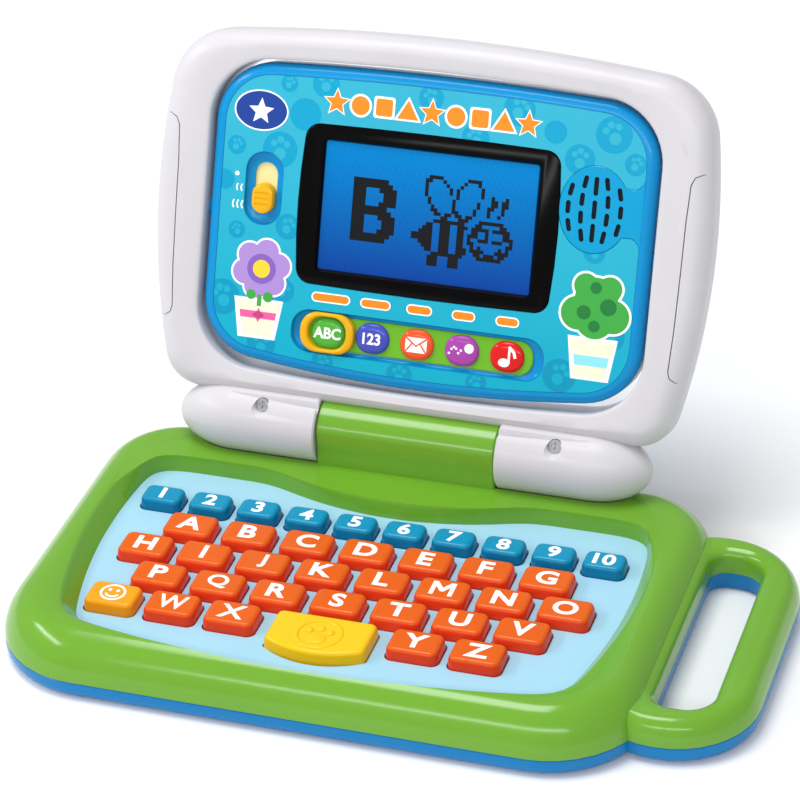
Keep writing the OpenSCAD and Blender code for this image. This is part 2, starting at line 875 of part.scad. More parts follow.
module faceplate() {
    color("#4cc4e2") lid_place() panel(unit_front - face_t, unit_front - 0.1) difference() {
        offset(delta = -face_clear) face_outline();
        speaker_outline(face_clear);
        bezel_outline(2 * face_clear);
        volume_outline(face_clear);
        mode_outline(face_clear);
    }
}

module screen_bezel() {
    color("#101010") lid_place() panel(unit_front - bezel_t, unit_front + 0.2) difference() {
        bezel_outline(0);
        display_outline();
    }
}

module lcd_module() {
    color("#1e55a8") lid_place() {
        panel(unit_front - bezel_t - 3.4, unit_front - bezel_t) translate([0, display_v])
            square([display_w + 8, display_h + 6], center = true);
        panel(unit_front - bezel_t - skin, unit_front - glass_drop) translate([0, display_v])
            square([display_w - 0.6, display_h - 0.6], center = true);
    }
}

module main_board() {
    color("#1e6b3a") lid_place() panel(lid_mid - 2.4, lid_mid - 0.8)
        translate([-18, flip_v]) square([124, unit_h - 26], center = true);
}

module speaker() {
    color("#303030") lid_place() translate([speaker_at[0], 0, speaker_at[1]]) {
        rod_w([0, 0], speaker_r, unit_front - face_t - unit_wall - 3, unit_front - face_t - unit_wall);
        rod_w([0, 0], 9, unit_back + unit_wall + 1, unit_front - face_t - unit_wall - 3 + skin);
    }
}

// Volume knob at its lowest place; its foot slides behind the floor of the dish
module volume_knob() {
    floor_back = unit_front - dish_depth - dish_floor_t;
    size = [volume_slot[0] - 2 * clear_gap, volume_knob_h];
    rest_v = volume_at[1] - volume_travel / 2;
    color("#f4c816") lid_place() {
        panel(floor_back - 1.2, floor_back - 0.2) translate([volume_at[0], rest_v])
            pill([volume_slot[0] + 3, volume_slot[1] + 4], 3);
        panel(floor_back - 0.2 - skin, unit_front + 1.4) translate([volume_at[0], rest_v])
            pill(size, size[0]);
    }
}

// Mode ring round the leftmost picture; its two lips run in grooves of the dish
module mode_ring() {
    floor_w = unit_front - dish_depth + 0.15;
    color("#f2b41a") lid_place() translate([-mode_half, 0, mode_v]) {
        panel(floor_w, unit_front + 1.2) difference() {
            pill(ring_size, 7);
            pill(ring_hole, 5.6);
        }
        panel(floor_w, floor_w + 0.7) difference() {
            square([10, ring_size[1] + 1.4], center = true);
            pill(ring_hole, 5.6);
        }
    }
}

base_top_shell();
base_bottom_shell();
keyboard_plate();
dome_sheet();
keyboard_board();
battery_door();
battery_cells();
battery_contacts();
case_screws();
hinge_pins();
lid_front_frame();
lid_rear_frame();
lid_screws();
unit_front_shell();
unit_rear_shell();
faceplate();
screen_bezel();
lcd_module();
main_board();
speaker();
volume_knob();
mode_ring();
key_smile();
key_paw();
for (i = [0 : 9]) number_key(i);
for (k = letters()) letter_key(k);
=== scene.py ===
import math

import bmesh
import bpy
from mathutils import Matrix, Vector


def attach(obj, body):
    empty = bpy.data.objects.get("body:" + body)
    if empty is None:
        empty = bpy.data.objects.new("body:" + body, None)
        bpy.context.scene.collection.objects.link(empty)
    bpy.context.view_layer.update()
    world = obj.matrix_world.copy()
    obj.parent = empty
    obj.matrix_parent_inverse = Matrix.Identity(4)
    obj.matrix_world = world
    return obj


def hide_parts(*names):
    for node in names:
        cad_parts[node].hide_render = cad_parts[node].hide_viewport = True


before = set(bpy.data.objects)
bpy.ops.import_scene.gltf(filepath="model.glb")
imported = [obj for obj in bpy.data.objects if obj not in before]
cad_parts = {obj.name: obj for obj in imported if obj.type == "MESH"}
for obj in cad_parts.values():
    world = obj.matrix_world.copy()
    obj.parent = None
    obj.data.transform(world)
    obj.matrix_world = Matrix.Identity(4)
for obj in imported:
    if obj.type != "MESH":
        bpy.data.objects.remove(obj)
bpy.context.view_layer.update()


# ---------- Studio ----------
# A pale seamless floor under soft boxes, with the toy seen from the front right and from above.

aim = Vector((0.0042, 0.0436, 0.0703))
eye_distance = 1.328
eye_turn = math.radians(18.88)
eye_height = math.radians(32.07)
eye_roll = math.radians(-2.3)

lens = bpy.data.cameras.new("lens")
lens.sensor_width = 36
lens.lens = 155.5
camera = bpy.data.objects.new("camera", lens)
bpy.context.scene.collection.objects.link(camera)
camera.matrix_world = (Matrix.Translation(aim) @ Matrix.Rotation(eye_turn, 4, "Z")
    @ Matrix.Rotation(math.pi / 2 - eye_height, 4, "X") @ Matrix.Rotation(eye_roll, 4, "Z")
    @ Matrix.Translation((0, 0, eye_distance)))
bpy.context.scene.camera = camera
bpy.context.scene.view_settings.view_transform = "Standard"


def linear(colour):
    """sRGB hex to the linear colour that a shader takes"""
    parts = [int(colour[i:i + 2], 16) / 255 for i in (1, 3, 5)]
    return tuple(c / 12.92 if c < 0.04045 else ((c + 0.055) / 1.055) ** 2.4 for c in parts) + (1,)


def add(material, kind, settings=None, links=None):
    """Adds a node with its settings, and links its inputs to other nodes' outputs"""
    node = material.node_tree.nodes.new(kind)
    for name, value in (settings or {}).items():
        if name in node.inputs:
            node.inputs[name].default_value = value
        else:
            setattr(node, name, value)
    for name, source in (links or {}).items():
        material.node_tree.links.new(source, node.inputs[name])
    return node


def new_material(name):
    material = bpy.data.materials.new(name)
    material.use_nodes = True
    return material, material.node_tree.nodes["Principled BSDF"]


# Painted board: matt white, so the floor takes only soft shadows
paint, shader = new_material("matt_white_board")
shader.inputs["Base Color"].default_value = linear("#f7f7f8")
shader.inputs["Roughness"].default_value = 0.9
bpy.ops.mesh.primitive_plane_add(size=8)
floor = bpy.context.object
floor.name = "floor"
floor.data.materials.append(paint)

world = bpy.data.worlds.new("studio")
world.use_nodes = True
world.node_tree.nodes["Background"].inputs["Color"].default_value = linear("#ffffff")
world.node_tree.nodes["Background"].inputs["Strength"].default_value = 0.55
bpy.context.scene.world = world
soft_boxes = (("top_box", (-0.3, 0.0, 1.8), 0.8, 0.8, 18), ("left_box", (-1.3, -0.5, 1.1), 1.2, 0.16, 9),
    ("front_box", (0.2, -1.6, 1.0), 1.8, 0.14, 9))
for name, place, long, wide, power in soft_boxes:
    light = bpy.data.lights.new(name, "AREA")
    light.shape = "RECTANGLE"
    light.size = long
    light.size_y = wide
    light.energy = power
    lamp = bpy.data.objects.new(name, light)
    bpy.context.scene.collection.objects.link(lamp)
    lamp.location = place
    lamp.rotation_euler = (aim - Vector(place)).to_track_quat("-Z", "Y").to_euler()


# ---------- Base, upper shell ----------
# The green moulding with the deck, the sunken keyboard, the hinge knuckle and the top of the handle.
# Glossy ABS from a polished mould, screwed to the lower shell along the seam.

mm = 0.001
seam = 8
deck = 25
half_width = 126.5
half_depth = 82
handle_end = 163.9
handle_mid = 0.5
hinge = Vector((0, 70, 35.5))
barrel_radius = 14.5
trough_gap = 0.5
barrel_straight = 73.1
knuckle_half = 36.7
knuckle_radius = 12.8
knuckle_cheek = 12
rim_reach = 14
recess_floor = 18
handle_top = 18


def moulded(name, colour, gloss=0.22, grain=0.6, tone=0.05, low=None):
    """Moulded ABS: even colour with a faint drift of shade, and a soft ripple in the gloss.
    low is a second colour with the heights in millimetres at which it starts and is complete; it paints the upper
    parts lighter, a painted top light"""
    material, shader = new_material(name)
    place = add(material, "ShaderNodeTexCoord")
    drift = add(material, "ShaderNodeTexNoise", {"Scale": 1 / (35 * mm), "Detail": 2.0},
        {"Vector": place.outputs["Object"]})
    ripple = add(material, "ShaderNodeTexNoise", {"Scale": 1 / (grain * mm), "Detail": 3.0},
        {"Vector": place.outputs["Object"]})
    shade = add(material, "ShaderNodeMapRange", {"To Min": 1 - tone, "To Max": 1 + tone},
        {"Value": drift.outputs["Fac"]})
    tint = add(material, "ShaderNodeHueSaturation", {"Color": linear(colour)}, {"Value": shade.outputs["Result"]})
    # The second colour paints the upper parts lighter: painted top light
    if low:
        rise = add(material, "ShaderNodeSeparateXYZ", None, {"Vector": place.outputs["Object"]})
        share = add(material, "ShaderNodeMapRange", {"From Min": low[1] * mm, "From Max": low[2] * mm},
            {"Value": rise.outputs["Z"]})
        ramp = add(material, "ShaderNodeValToRGB", None, {"Fac": share.outputs["Result"]})
        ramp.color_ramp.elements[0].color = linear(colour)
        ramp.color_ramp.elements[1].color = linear(low[0])
        material.node_tree.links.new(ramp.outputs["Color"], tint.inputs["Color"])
    polish = add(material, "ShaderNodeMapRange", {"To Min": gloss * 0.8, "To Max": gloss * 1.2},
        {"Value": ripple.outputs["Fac"]})
    bump = add(material, "ShaderNodeBump", {"Strength": 0.05, "Distance": 0.05 * mm},
        {"Height": ripple.outputs["Fac"]})
    shader.inputs["IOR"].default_value = 1.53
    shader.inputs["Specular IOR Level"].default_value = 0.2
    material.node_tree.links.new(tint.outputs["Color"], shader.inputs["Base Color"])
    material.node_tree.links.new(polish.outputs["Result"], shader.inputs["Roughness"])
    material.node_tree.links.new(bump.outputs["Normal"], shader.inputs["Normal"])
    return material


def rounded(corners, bows=(0, 0, 0, 0), inset=0, bend=9, run=8):
    """Points round four corners (x, y, radius) from the right foot on; each run between them swells by its bow"""
    ends = [(x, y, r - inset) for x, y, r in corners]
    shifts = [math.atan(4 * bow / max(1, math.dist(a[:2], b[:2])))
        for bow, a, b in zip(bows, ends, ends[1:] + ends[:1])]
    arcs = []
    for k, (x, y, r) in enumerate(ends):
        start = math.pi / 2 * (k - 1) + shifts[k - 1]
        stop = math.pi / 2 * k - shifts[k]
        turns = [start + (stop - start) * i / bend for i in range(bend + 1)]
        arcs.append([(x + r * math.cos(a), y + r * math.sin(a)) for a in turns])
    points = []
    for arc, after, bow in zip(arcs, arcs[1:] + arcs[:1], bows):
        points += arc
        (x0, y0), (x1, y1) = arc[-1], after[0]
        long = math.dist(arc[-1], after[0]) or 1
        for i in range(1, run):
            t = i / run
            out = 4 * bow * t * (1 - t) / long
            points.append((x0 + (x1 - x0) * t + (y1 - y0) * out, y0 + (y1 - y0) * t - (x1 - x0) * out))
    return points


def soft_box(w, d, front_r, back_r, centre=(0, 0), bend=9, run=8):
    """Points round a box of half sizes w and d, with one corner radius at the front and one at the back"""
    x, y = centre
    return rounded(((x + w - front_r, y + front_r - d, front_r), (x + w - back_r, y + d - back_r, back_r),
        (x + back_r - w, y + d - back_r, back_r), (x + front_r - w, y + front_r - d, front_r)), bend=bend, run=run)


def loft(name, rings, place=Matrix()):
    """A closed form extruded from ring to ring; each ring is a list of points in millimetres"""
    bpy.ops.object.select_all(action="DESELECT")
    bpy.ops.mesh.primitive_circle_add(vertices=len(rings[0]), fill_type="NGON")
    piece = bpy.context.object
    piece.name = name
    bpy.ops.object.mode_set(mode="EDIT")
    mesh = bmesh.from_edit_mesh(piece.data)
    order = mesh.verts.layers.int.new("order")
    for i, vertex in enumerate(mesh.verts):
        vertex[order] = i
        vertex.co = place @ (Vector(rings[0][i]) * mm)
    for ring in rings[1:]:
        bmesh.update_edit_mesh(piece.data)
        bpy.ops.mesh.extrude_region_move(TRANSFORM_OT_translate={"value": (0, 0, mm)})
        mesh = bmesh.from_edit_mesh(piece.data)
        order = mesh.verts.layers.int["order"]
        for vertex in mesh.verts:
            if vertex.select:
                vertex.co = place @ (Vector(ring[vertex[order]]) * mm)
    bmesh.update_edit_mesh(piece.data)
    bpy.ops.mesh.select_all(action="SELECT")
    bpy.ops.mesh.normals_make_consistent(inside=False)
    bpy.ops.object.mode_set(mode="OBJECT")
    return piece


def level(outline, z):
    """A ring: the outline at one height"""
    return [(x, y, z) for x, y in outline]


def turned(name, profile, centre, steps=72, axis="X"):
    """A form turned about an axis through centre; the profile is (along, radius) from end to end"""
    rings = []
    for along, radius in profile:
        ring = []
        for i in range(steps):
            a = 2 * math.pi * i / steps
            side, rise = max(radius, 0.01) * math.cos(a), max(radius, 0.01) * math.sin(a)
            ring.append(Vector((along, side, rise) if axis == "X" else (side, rise, along)) + Vector(centre))
        rings.append(ring)
    return loft(name, rings)


def apply_modifier(piece, kind, **settings):
    bpy.ops.object.select_all(action="DESELECT")
    bpy.context.view_layer.objects.active = piece
    piece.select_set(True)
    modifier = piece.modifiers.new(kind.lower(), kind)
    for name, value in settings.items():
        setattr(modifier, name, value)
    bpy.ops.object.modifier_apply(modifier=modifier.name)
    return piece


def carve(piece, tool, operation="DIFFERENCE"):
    """Cuts a tool out of a piece, or adds it, and clears the tool away"""
    apply_modifier(piece, "BOOLEAN", operation=operation, object=tool, solver="EXACT")
    bpy.data.objects.remove(tool)
    return piece


def join(pieces, name):
    bpy.ops.object.select_all(action="DESELECT")
    for piece in pieces:
        piece.select_set(True)
    bpy.context.view_layer.objects.active = pieces[0]
    bpy.ops.object.join()
    pieces[0].name = name
    return pieces[0]


def fit(piece, material, body, replaced=(), angle=32):
    """Smooths, paints and fixes a finished piece to its body"""
    bpy.ops.object.select_all(action="DESELECT")
    bpy.context.view_layer.objects.active = piece
    piece.select_set(True)
    bpy.ops.object.shade_smooth_by_angle(angle=math.radians(angle))
    if material:
        piece.data.materials.clear()
        piece.data.materials.append(material)
    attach(piece, body)
    if replaced:
        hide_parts(*replaced)
    return piece


def rim(outline, z0, z1, reach, power=1.7, steps=12):
    """Rings of a wall that rises from z0, leans in and rolls over to z1; reach is how far in it ends"""
    rings = []
    for i in range(steps + 1):
        t = math.sin(math.pi / 2 * i / steps)
        rings.append(level(outline(reach * (1 - math.sqrt(max(0, 1 - t ** power)))), z0 + (z1 - z0) * t))
    return rings


def base_outline(inset):
    """The base seen from above, drawn in by inset"""
    return soft_box(half_width - inset, half_depth - inset, 39 - inset, 33 - inset)


def handle_outline(inset):
    """The handle seen from above; its inner end lies under the deck"""
    inner = half_width - 28
    return soft_box((handle_end - inner) / 2 - inset, 63.5 - inset, 32 - inset, 32 - inset,
        ((handle_end + inner) / 2, handle_mid))


def slot_outline(grow):
    """The opening for the hand, between the base's side and the grip"""
    grip = 15.5
    wide = (handle_end - grip - half_width) / 2
    turned_box = soft_box(49.5 + grow, wide + grow, 7 + grow, 10.9 + grow)
    return [(y + half_width + wide, handle_mid - x) for x, y in turned_box]


def keyboard_outline(grow, steps=240):
    """The sunken keyboard: bowed front and sides, and a brow that dips from the straight back edge"""
    mid = Vector((0, -8))
    front_y, front_radius = -68, 450
    side_x, side_y, side_radius = 105, 11.5, 227
    back_y, brow_half, brow_dip = 49.3, 53, 11
    circles = ((Vector((0, front_radius + front_y)), front_radius),
        (Vector((side_x - side_radius, side_y)), side_radius), (Vector((side_radius - side_x, side_y)), side_radius))
    brow_radius = (brow_half * brow_half + brow_dip * brow_dip) / (2 * brow_dip)
    brow = Vector((0, back_y - brow_dip + brow_radius))
    reach = []
    for i in range(steps):
        a = 2 * math.pi * i / steps
        ray = Vector((math.cos(a), math.sin(a)))
        ends = []
        for centre, radius in circles:
            to = mid - centre
            half = ray.dot(to)
            ends.append(-half + math.sqrt(half * half - to.dot(to) + radius * radius))
        if ray.y > 0:
            ends.append((back_y - mid.y) / ray.y)
            to = mid - brow
            half = ray.dot(to)
            room = half * half - to.dot(to) + brow_radius * brow_radius
            if room > 0:
                ends.append(-half - math.sqrt(room))
        reach.append(min(ends))
    for _ in range(5):
        reach = [(reach[i - 1] + 2 * reach[i] + reach[(i + 1) % steps]) / 4 for i in range(steps)]
    points = [mid + Vector((math.cos(2 * math.pi * i / steps), math.sin(2 * math.pi * i / steps))) * r
        for i, r in enumerate(reach)]
    grown = []
    for i, p in enumerate(points):
        along = points[(i + 1) % steps] - points[i - 1]
        out = Vector((along.y, -along.x)).normalized()
        share = min(1, max(0.16, (46 - p.y) / 24))  # the back wall is steeper than the others
        grown.append(p + out * grow * share)
    return [(p.x, p.y) for p in grown]


# Glossy ABS: long soft highlights run along the rim and the handle
green = moulded("glossy_green_abs", "#6aa22a", 0.17)
green.node_tree.nodes["Principled BSDF"].inputs["Specular IOR Level"].default_value = 0.4
top_shell = loft("base_top_cover", rim(base_outline, seam, deck, rim_reach))
carve(top_shell, loft("grip", rim(handle_outline, seam, handle_top, 6.5, 2)), "UNION")
knuckle = []
for x, inset in ((-knuckle_half, 0.7), (0.7 - knuckle_half, 0), (knuckle_half - 0.7, 0), (knuckle_half, 0.7)):
    r = knuckle_radius - inset
    flat = knuckle_cheek - inset
    turn = math.degrees(math.acos(flat / r))
    crown = [math.radians(turn + (180 - 2 * turn) * i / 24) for i in range(25)]
    knuckle.append([(x, hinge.y + r * math.cos(a), hinge.z + r * math.sin(a)) for a in crown]
        + [(x, hinge.y - flat, 20), (x, hinge.y - flat, seam + 2), (x, hinge.y + flat, seam + 2)])
carve(top_shell, loft("knuckle", knuckle), "UNION")
nose = [(math.sin(math.radians(a)), math.cos(math.radians(a))) for a in range(10, 91, 8)]
for side in (-1, 1):
    r = barrel_radius + trough_gap
    trough = [(side * (knuckle_half + 0.02), r), (side * barrel_straight, r)]
    trough += [(side * (barrel_straight + 25 * s), r * c) for s, c in nose]
    carve(top_shell, turned("trough", trough, hinge))
recess = [level(keyboard_outline(0), z) for z in (seam - 1, recess_floor)]
recess += [level(keyboard_outline(g), z) for g, z in ((3.2, 22), (4.6, 23.6), (5.2, 24.4), (6.2, 25), (8.4, 25.6))]
carve(top_shell, loft("recess", recess))
slot_rings = [level(slot_outline(0), z) for z in (seam - 1, 14)]
slot_rings += [level(slot_outline(4 * (1 - math.cos(math.radians(a)))), 14 + 4 * math.sin(math.radians(a)))
    for a in range(15, 76, 15)] + [level(slot_outline(4), 18.5)]
carve(top_shell, loft("hand_slot", slot_rings))
fit(top_shell, green, "base", ["base_top_shell"])


# ---------- Base, lower shell ----------
# The blue tray under the green shell, with a rounded foot, a hand slot and the battery opening.
# Moulded in the same glossy ABS, with eight screw wells.

# Glossy ABS: the blue line under the green shell, with a soft shine on its rounded foot
blue = moulded("glossy_blue_abs", "#0a78b6", 0.24)
foot = [level(base_outline(5 * (1 - math.cos(math.radians(a)))), 5 - 5 * math.sin(math.radians(a)))
    for a in range(90, -1, -15)] + [level(base_outline(0), seam - 0.6), level(base_outline(0.5), seam - 0.1)]
grip_foot = [level(handle_outline(5 * (1 - math.cos(math.radians(a)))), 5 - 5 * math.sin(math.radians(a)))
    for a in range(90, -1, -15)] + [level(handle_outline(0), seam - 0.6), level(handle_outline(0.5), seam - 0.1)]
tray = loft("base_tray", foot)
carve(tray, loft("grip_foot", grip_foot), "UNION")
slot_foot = [level(slot_outline(g), z) for g, z in ((2, -0.5), (1.2, 0.4), (0.3, 1.6), (0, 3), (0, seam + 1))]
carve(tray, loft("hand_slot", slot_foot))
carve(tray, loft("inside", [level(soft_box(115, 68, 30, 26), z) for z in (2.2, seam + 1)]))
battery_half, battery_deep, battery_at, door_lip = 78.0, 7.7, (0, 66), 3
for name, lip, top in (("door_seat", door_lip, 1.8), ("door_hole", 0, seam)):
    carve(tray, loft(name, [level(soft_box(battery_half + lip, battery_deep + lip, 1, 1, battery_at), z)
        for z in (-1, top)]))
screw_wells = [(s * 117, y) for s in (-1, 1) for y in (-35, 32)] + [(s * 52, -73) for s in (-1, 1)]
screw_wells += [(s * 100, 63) for s in (-1, 1)]
for x, y in screw_wells:
    carve(tray, turned("well", ((-1, 3.4), (0, 3.2), (0.4, 3), (2.6, 3)), (x, y, 0), 32, "Z"))
fit(tray, blue, "base", ["base_bottom_shell"])


# ---------- Keyboard plate ----------
# The pale plate that the keys stand through, held up under the deck.
# Moulded in satin ABS, with a hole for each key.


def paint_node(name, material):
    """Gives a CAD piece that keeps its shape the finish of its real material"""
    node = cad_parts[name]
    node.data.materials.clear()
    node.data.materials.append(material)


# Satin ABS: a calm pale ground with no clear reflections, so the keys stand out
paint_node("keyboard_plate", moulded("satin_pale_blue_abs", "#9fcde2", 0.38))


# ---------- Keys ----------
# Thirty-eight caps on a rubber sheet: blue numbers, orange letters, a smiling key and a wide yellow button.
# Each cap is glossy ABS with eased edges, and its white legend is printed on.

key_top = 23
letter_pitch, number_pitch = 24, 20
number_row, bottom_row = 25.9, -42.9
# Screen-printed ink: flat white that stays a little duller than the cap under it
print_white = moulded("white_ink", "#fbfbfb", 0.4)
# Glossy ABS caps: each is painted lighter on its top than at its foot, a painted top light, with a highlight along its
# eased edges
orange_cap = moulded("glossy_orange_abs", "#de3a18", 0.22, low=("#d95c06", 21.6, 22.8))
blue_cap = moulded("glossy_teal_abs", "#02709c", 0.22, low=("#028ab0", 21.6, 22.8))
amber_cap = moulded("glossy_amber_abs", "#e88c0e", 0.22, low=("#f09c14", 21.6, 22.8))
yellow_cap = moulded("glossy_yellow_abs", "#e8b40c", 0.22, low=("#efc016", 21.6, 22.8))
# Heights up a cap, each with how far the cap draws in there
cap_profile = ((16.3, 0), (18.6, 0), (21.2, 0.35), (22, 0.62), (22.5, 1), (22.85, 1.6), (22.98, 2.2), (key_top, 2.9))


def cap_outline(w, d, inset):
    r = 3.4
    corners = ((w - r, r - d, r), (w - r, d - r, r), (r - w, d - r, r), (r - w, r - d, r))
    return rounded(corners, inset=inset, bend=6, run=3)


def copy_of(piece, name, move=(0, 0, 0)):
    """A copy with its own mesh, moved in its mesh by millimetres"""
    other = bpy.data.objects.new(name, piece.data.copy())
    bpy.context.scene.collection.objects.link(other)
    other.data.transform(Matrix.Translation(Vector(move) * mm))
    return other


def lettering(name, words, height, stretch=1.1, bold=0.025):
    """Bold capitals or numerals as a mesh, centred on the origin and a tenth of a millimetre thick"""
    bpy.ops.object.select_all(action="DESELECT")
    bpy.ops.object.text_add()
    piece = bpy.context.object
    piece.name = name
    piece.data.body = words
    piece.data.offset = bold
    piece.data.extrude = 0.02
    piece.data.resolution_u = 5
    bpy.ops.object.convert(target="MESH")
    xs = [v.co.x for v in piece.data.vertices]
    ys = [v.co.y for v in piece.data.vertices]
    size = height * mm / (max(ys) - min(ys))
    middle = Matrix.Translation((-(min(xs) + max(xs)) / 2, -(min(ys) + max(ys)) / 2, 0))
    piece.data.transform(Matrix.Diagonal((size * stretch, size, 0.05 * mm / 0.02, 1)) @ middle)
    return piece


def disc(x, y, r, steps=40):
    return [(x + r * math.cos(2 * math.pi * i / steps), y + r * math.sin(2 * math.pi * i / steps))
        for i in range(steps)]


def band(points, half):
    """Outline of a line of even thickness through the points"""
    sides = []
    for i, p in enumerate(points):
        before, after = points[max(0, i - 1)], points[min(len(points) - 1, i + 1)]
        along = Vector((after[0] - before[0], after[1] - before[1])).normalized() * half
        sides.append(((p[0] + along.y, p[1] - along.x), (p[0] - along.y, p[1] + along.x)))
    return [s[0] for s in sides] + [s[1] for s in reversed(sides)]


def arc(x, y, r, a0, a1, steps=16):
    turns = [math.radians(a0 + (a1 - a0) * i / steps) for i in range(steps + 1)]
    return [(x + r * math.cos(a), y + r * math.sin(a)) for a in turns]


wide_m = [(x * 0.95, y) for x, y in ((-4.8, -4.2), (-4.8, 4.2), (-2.7, 4.2), (0, 0.5), (2.7, 4.2), (4.8, 4.2),
    (4.8, -4.2), (3, -4.2), (3, 1.4), (0.7, -1.8), (-0.7, -1.8), (-3, 1.4), (-3, -4.2))]
letter_master = loft("letter_cap", [level(cap_outline(10.3, 7.5, inset), z) for z, inset in cap_profile])
number_master = loft("number_cap", [level(cap_outline(8.5, 6, inset), z) for z, inset in cap_profile])
letter_rows = (("abcdefg", -3, 8.7), ("hijklmno", -3.5, -8.5), ("pqrstuv", -3, -25.7))
keys = [(c, (start + i) * letter_pitch, y) for row, start, y in letter_rows for i, c in enumerate(row)]
keys += [(c, column * letter_pitch, bottom_row) for c, column in (("w", -2.5), ("x", -1.5), ("y", 1.5), ("z", 2.5))]
widths = {"i": 1, "j": 1.1, "m": 0.95, "w": 0.9}
weights = {"m": 0.012, "w": 0.018, "x": 0.018, "q": 0.02}
for c, x, y in keys:
    cap = copy_of(letter_master, "cap_" + c, (x, y, 0))
    fit(cap, orange_cap, "key_" + c, ["key_" + c], 40)
    legend = lettering("legend_" + c, c.upper(), 8.4, widths.get(c, 1.12), weights.get(c, 0.03))
    if c == "m":
        bpy.data.objects.remove(legend)
        legend = loft("legend_m", [level(wide_m, -0.05), level(wide_m, 0.05)])
    legend.data.transform(Matrix.Translation(Vector((x, y, key_top + 0.02)) * mm))
    fit(legend, print_white, "key_" + c)
for i in range(10):
    x, y, c = (i - 4.5) * number_pitch, number_row, str(i + 1)
    cap = copy_of(number_master, "cap_" + c, (x, y, 0))
    fit(cap, blue_cap, "key_" + c, ["key_" + c], 40)
    legend = lettering("legend_" + c, c, 7, 1.14, 0.03)
    legend.data.transform(Matrix.Translation(Vector((x, y, key_top + 0.02)) * mm))
    fit(legend, print_white, "key_" + c)
smile_x, smile_y = -3.5 * letter_pitch, bottom_row
cap = copy_of(letter_master, "cap_smile", (smile_x, smile_y, 0))
fit(cap, amber_cap, "key_smile", ["key_smile"], 40)
bpy.data.objects.remove(letter_master)
bpy.data.objects.remove(number_master)
marks = [band(arc(0, 0, 4.6, 0, 360, 40), 0.45), disc(-1.6, 1.4, 0.75, 16), disc(1.6, 1.4, 0.75, 16),
    band(arc(0, 0, 2.7, 205, 335), 0.45)]
smile = join([loft("smile", [level(o, key_top - 0.1), level(o, key_top + 0.12)]) for o in marks], "smile_mark")
smile.data.transform(Matrix.Translation(Vector((smile_x, smile_y, 0)) * mm))
fit(smile, print_white, "key_smile")


def button_outline(inset):
    """The wide button, with a bowed front edge"""
    return rounded(((17, -10, 3), (17, 4.4, 3), (-17, 4.4, 3), (-17, -10, 3)), (0, 0, 0, 4.5), inset, 6, 12)


paw = loft("paw_button", [level([(x, y + bottom_row) for x, y in button_outline(inset)], z)
    for z, inset in cap_profile])
domes = []
dome_steps = ((1, -0.2), (1, 0.1), (0.93, 0.35), (0.75, 0.6), (0.45, 0.75), (0.2, 0.8))
for x, y, r, stretch in ((0, -8.3, 3.2, 1.25), (-4, -3.6, 1.7, 1), (0, -1.9, 1.8, 1), (4, -3.6, 1.7, 1)):
    domes.append(loft("toe", [level([(x + p * s * stretch, y + bottom_row + q * s) for p, q in disc(0, 0, r, 32)],
        key_top + z) for s, z in dome_steps]))
ring_y = -48
raised_ring = loft("rim", [level(disc(0, ring_y, r, 64), z)
    for r, z in ((9.3, 22.8), (9.3, 23.1), (9, 23.35), (8.6, 23.45))])
carve(raised_ring, loft("rim_inside", [level(disc(0, ring_y, r, 64), z)
    for r, z in ((7.6, 22), (7.6, 23.1), (7.9, 23.35), (8.2, 23.6))]))
paw = join([paw, raised_ring] + domes, "paw_button")
fit(paw, yellow_cap, "key_paw", ["key_paw"], 40)


# ---------- Lid ----------
# A white frame in two halves that carries the screen unit, with two hinge barrels at its foot.
# Satin ABS; the halves are joined by screws from behind and by one screw in each barrel.

lean = math.radians(21.7)
lid_place = Matrix.Translation(hinge * mm) @ Matrix(((1, 0, 0, 0), (0, math.sin(lean), -math.cos(lean), 0),
    (0, math.cos(lean), math.sin(lean), 0), (0, 0, 0, 1)))
lid_mid = -1.7
lid_front, lid_back, lid_roll = 9.6, -13, 8
# Satin ABS: a cool white whose broad soft shading shows the roll of the frame
white = moulded("satin_white_abs", "#cccacf", 0.3)


def lid_outline(inset):
    """The lid's outer edge, with bowed sides and top"""
    corners = ((89.5, 26, 16), (84.2, 128.4, 26), (-84.2, 128.4, 26), (-89.5, 26, 16))
    return rounded(corners, (5.4, 4.4, 5.4, 0), inset, 12, 12)


def opening_outline(grow):
    """The opening that the screen unit turns in"""
    corners = ((66.4, 45.5, 25.1), (66.4, 119, 25.1), (-66.4, 119, 25.1), (-66.4, 45.5, 25.1))
    return rounded(corners, (0, 2.3, 0, 2.3), -grow, 12, 12)


def rolled(outline, w0, w1, r, steps=8):
    """Rings of a wall from w0 that rolls over by r to w1"""
    way = 1 if w1 > w0 else -1
    rings = [level(outline(0.35), w0), level(outline(0), w0 + 0.25 * way)]
    for i in range(steps + 1):
        a = math.pi / 2 * i / steps
        rings.append(level(outline(r * (1 - math.cos(a))), w1 - way * r * (1 - math.sin(a))))
    return rings


def opening_tool(w0, w1, mouth):
    """The opening's inside from w0 out to w1; the mouth gives how far it widens at each depth below w1"""
    way = 1 if w1 > w0 else -1
    rings = [level(opening_outline(0), w0)]
    rings += [level(opening_outline(grow), w1 - way * deep) for grow, deep in mouth]
    rings.append(level(opening_outline(mouth[-1][0] + 2), w1 + 2 * way))
    return loft("opening", rings, lid_place)


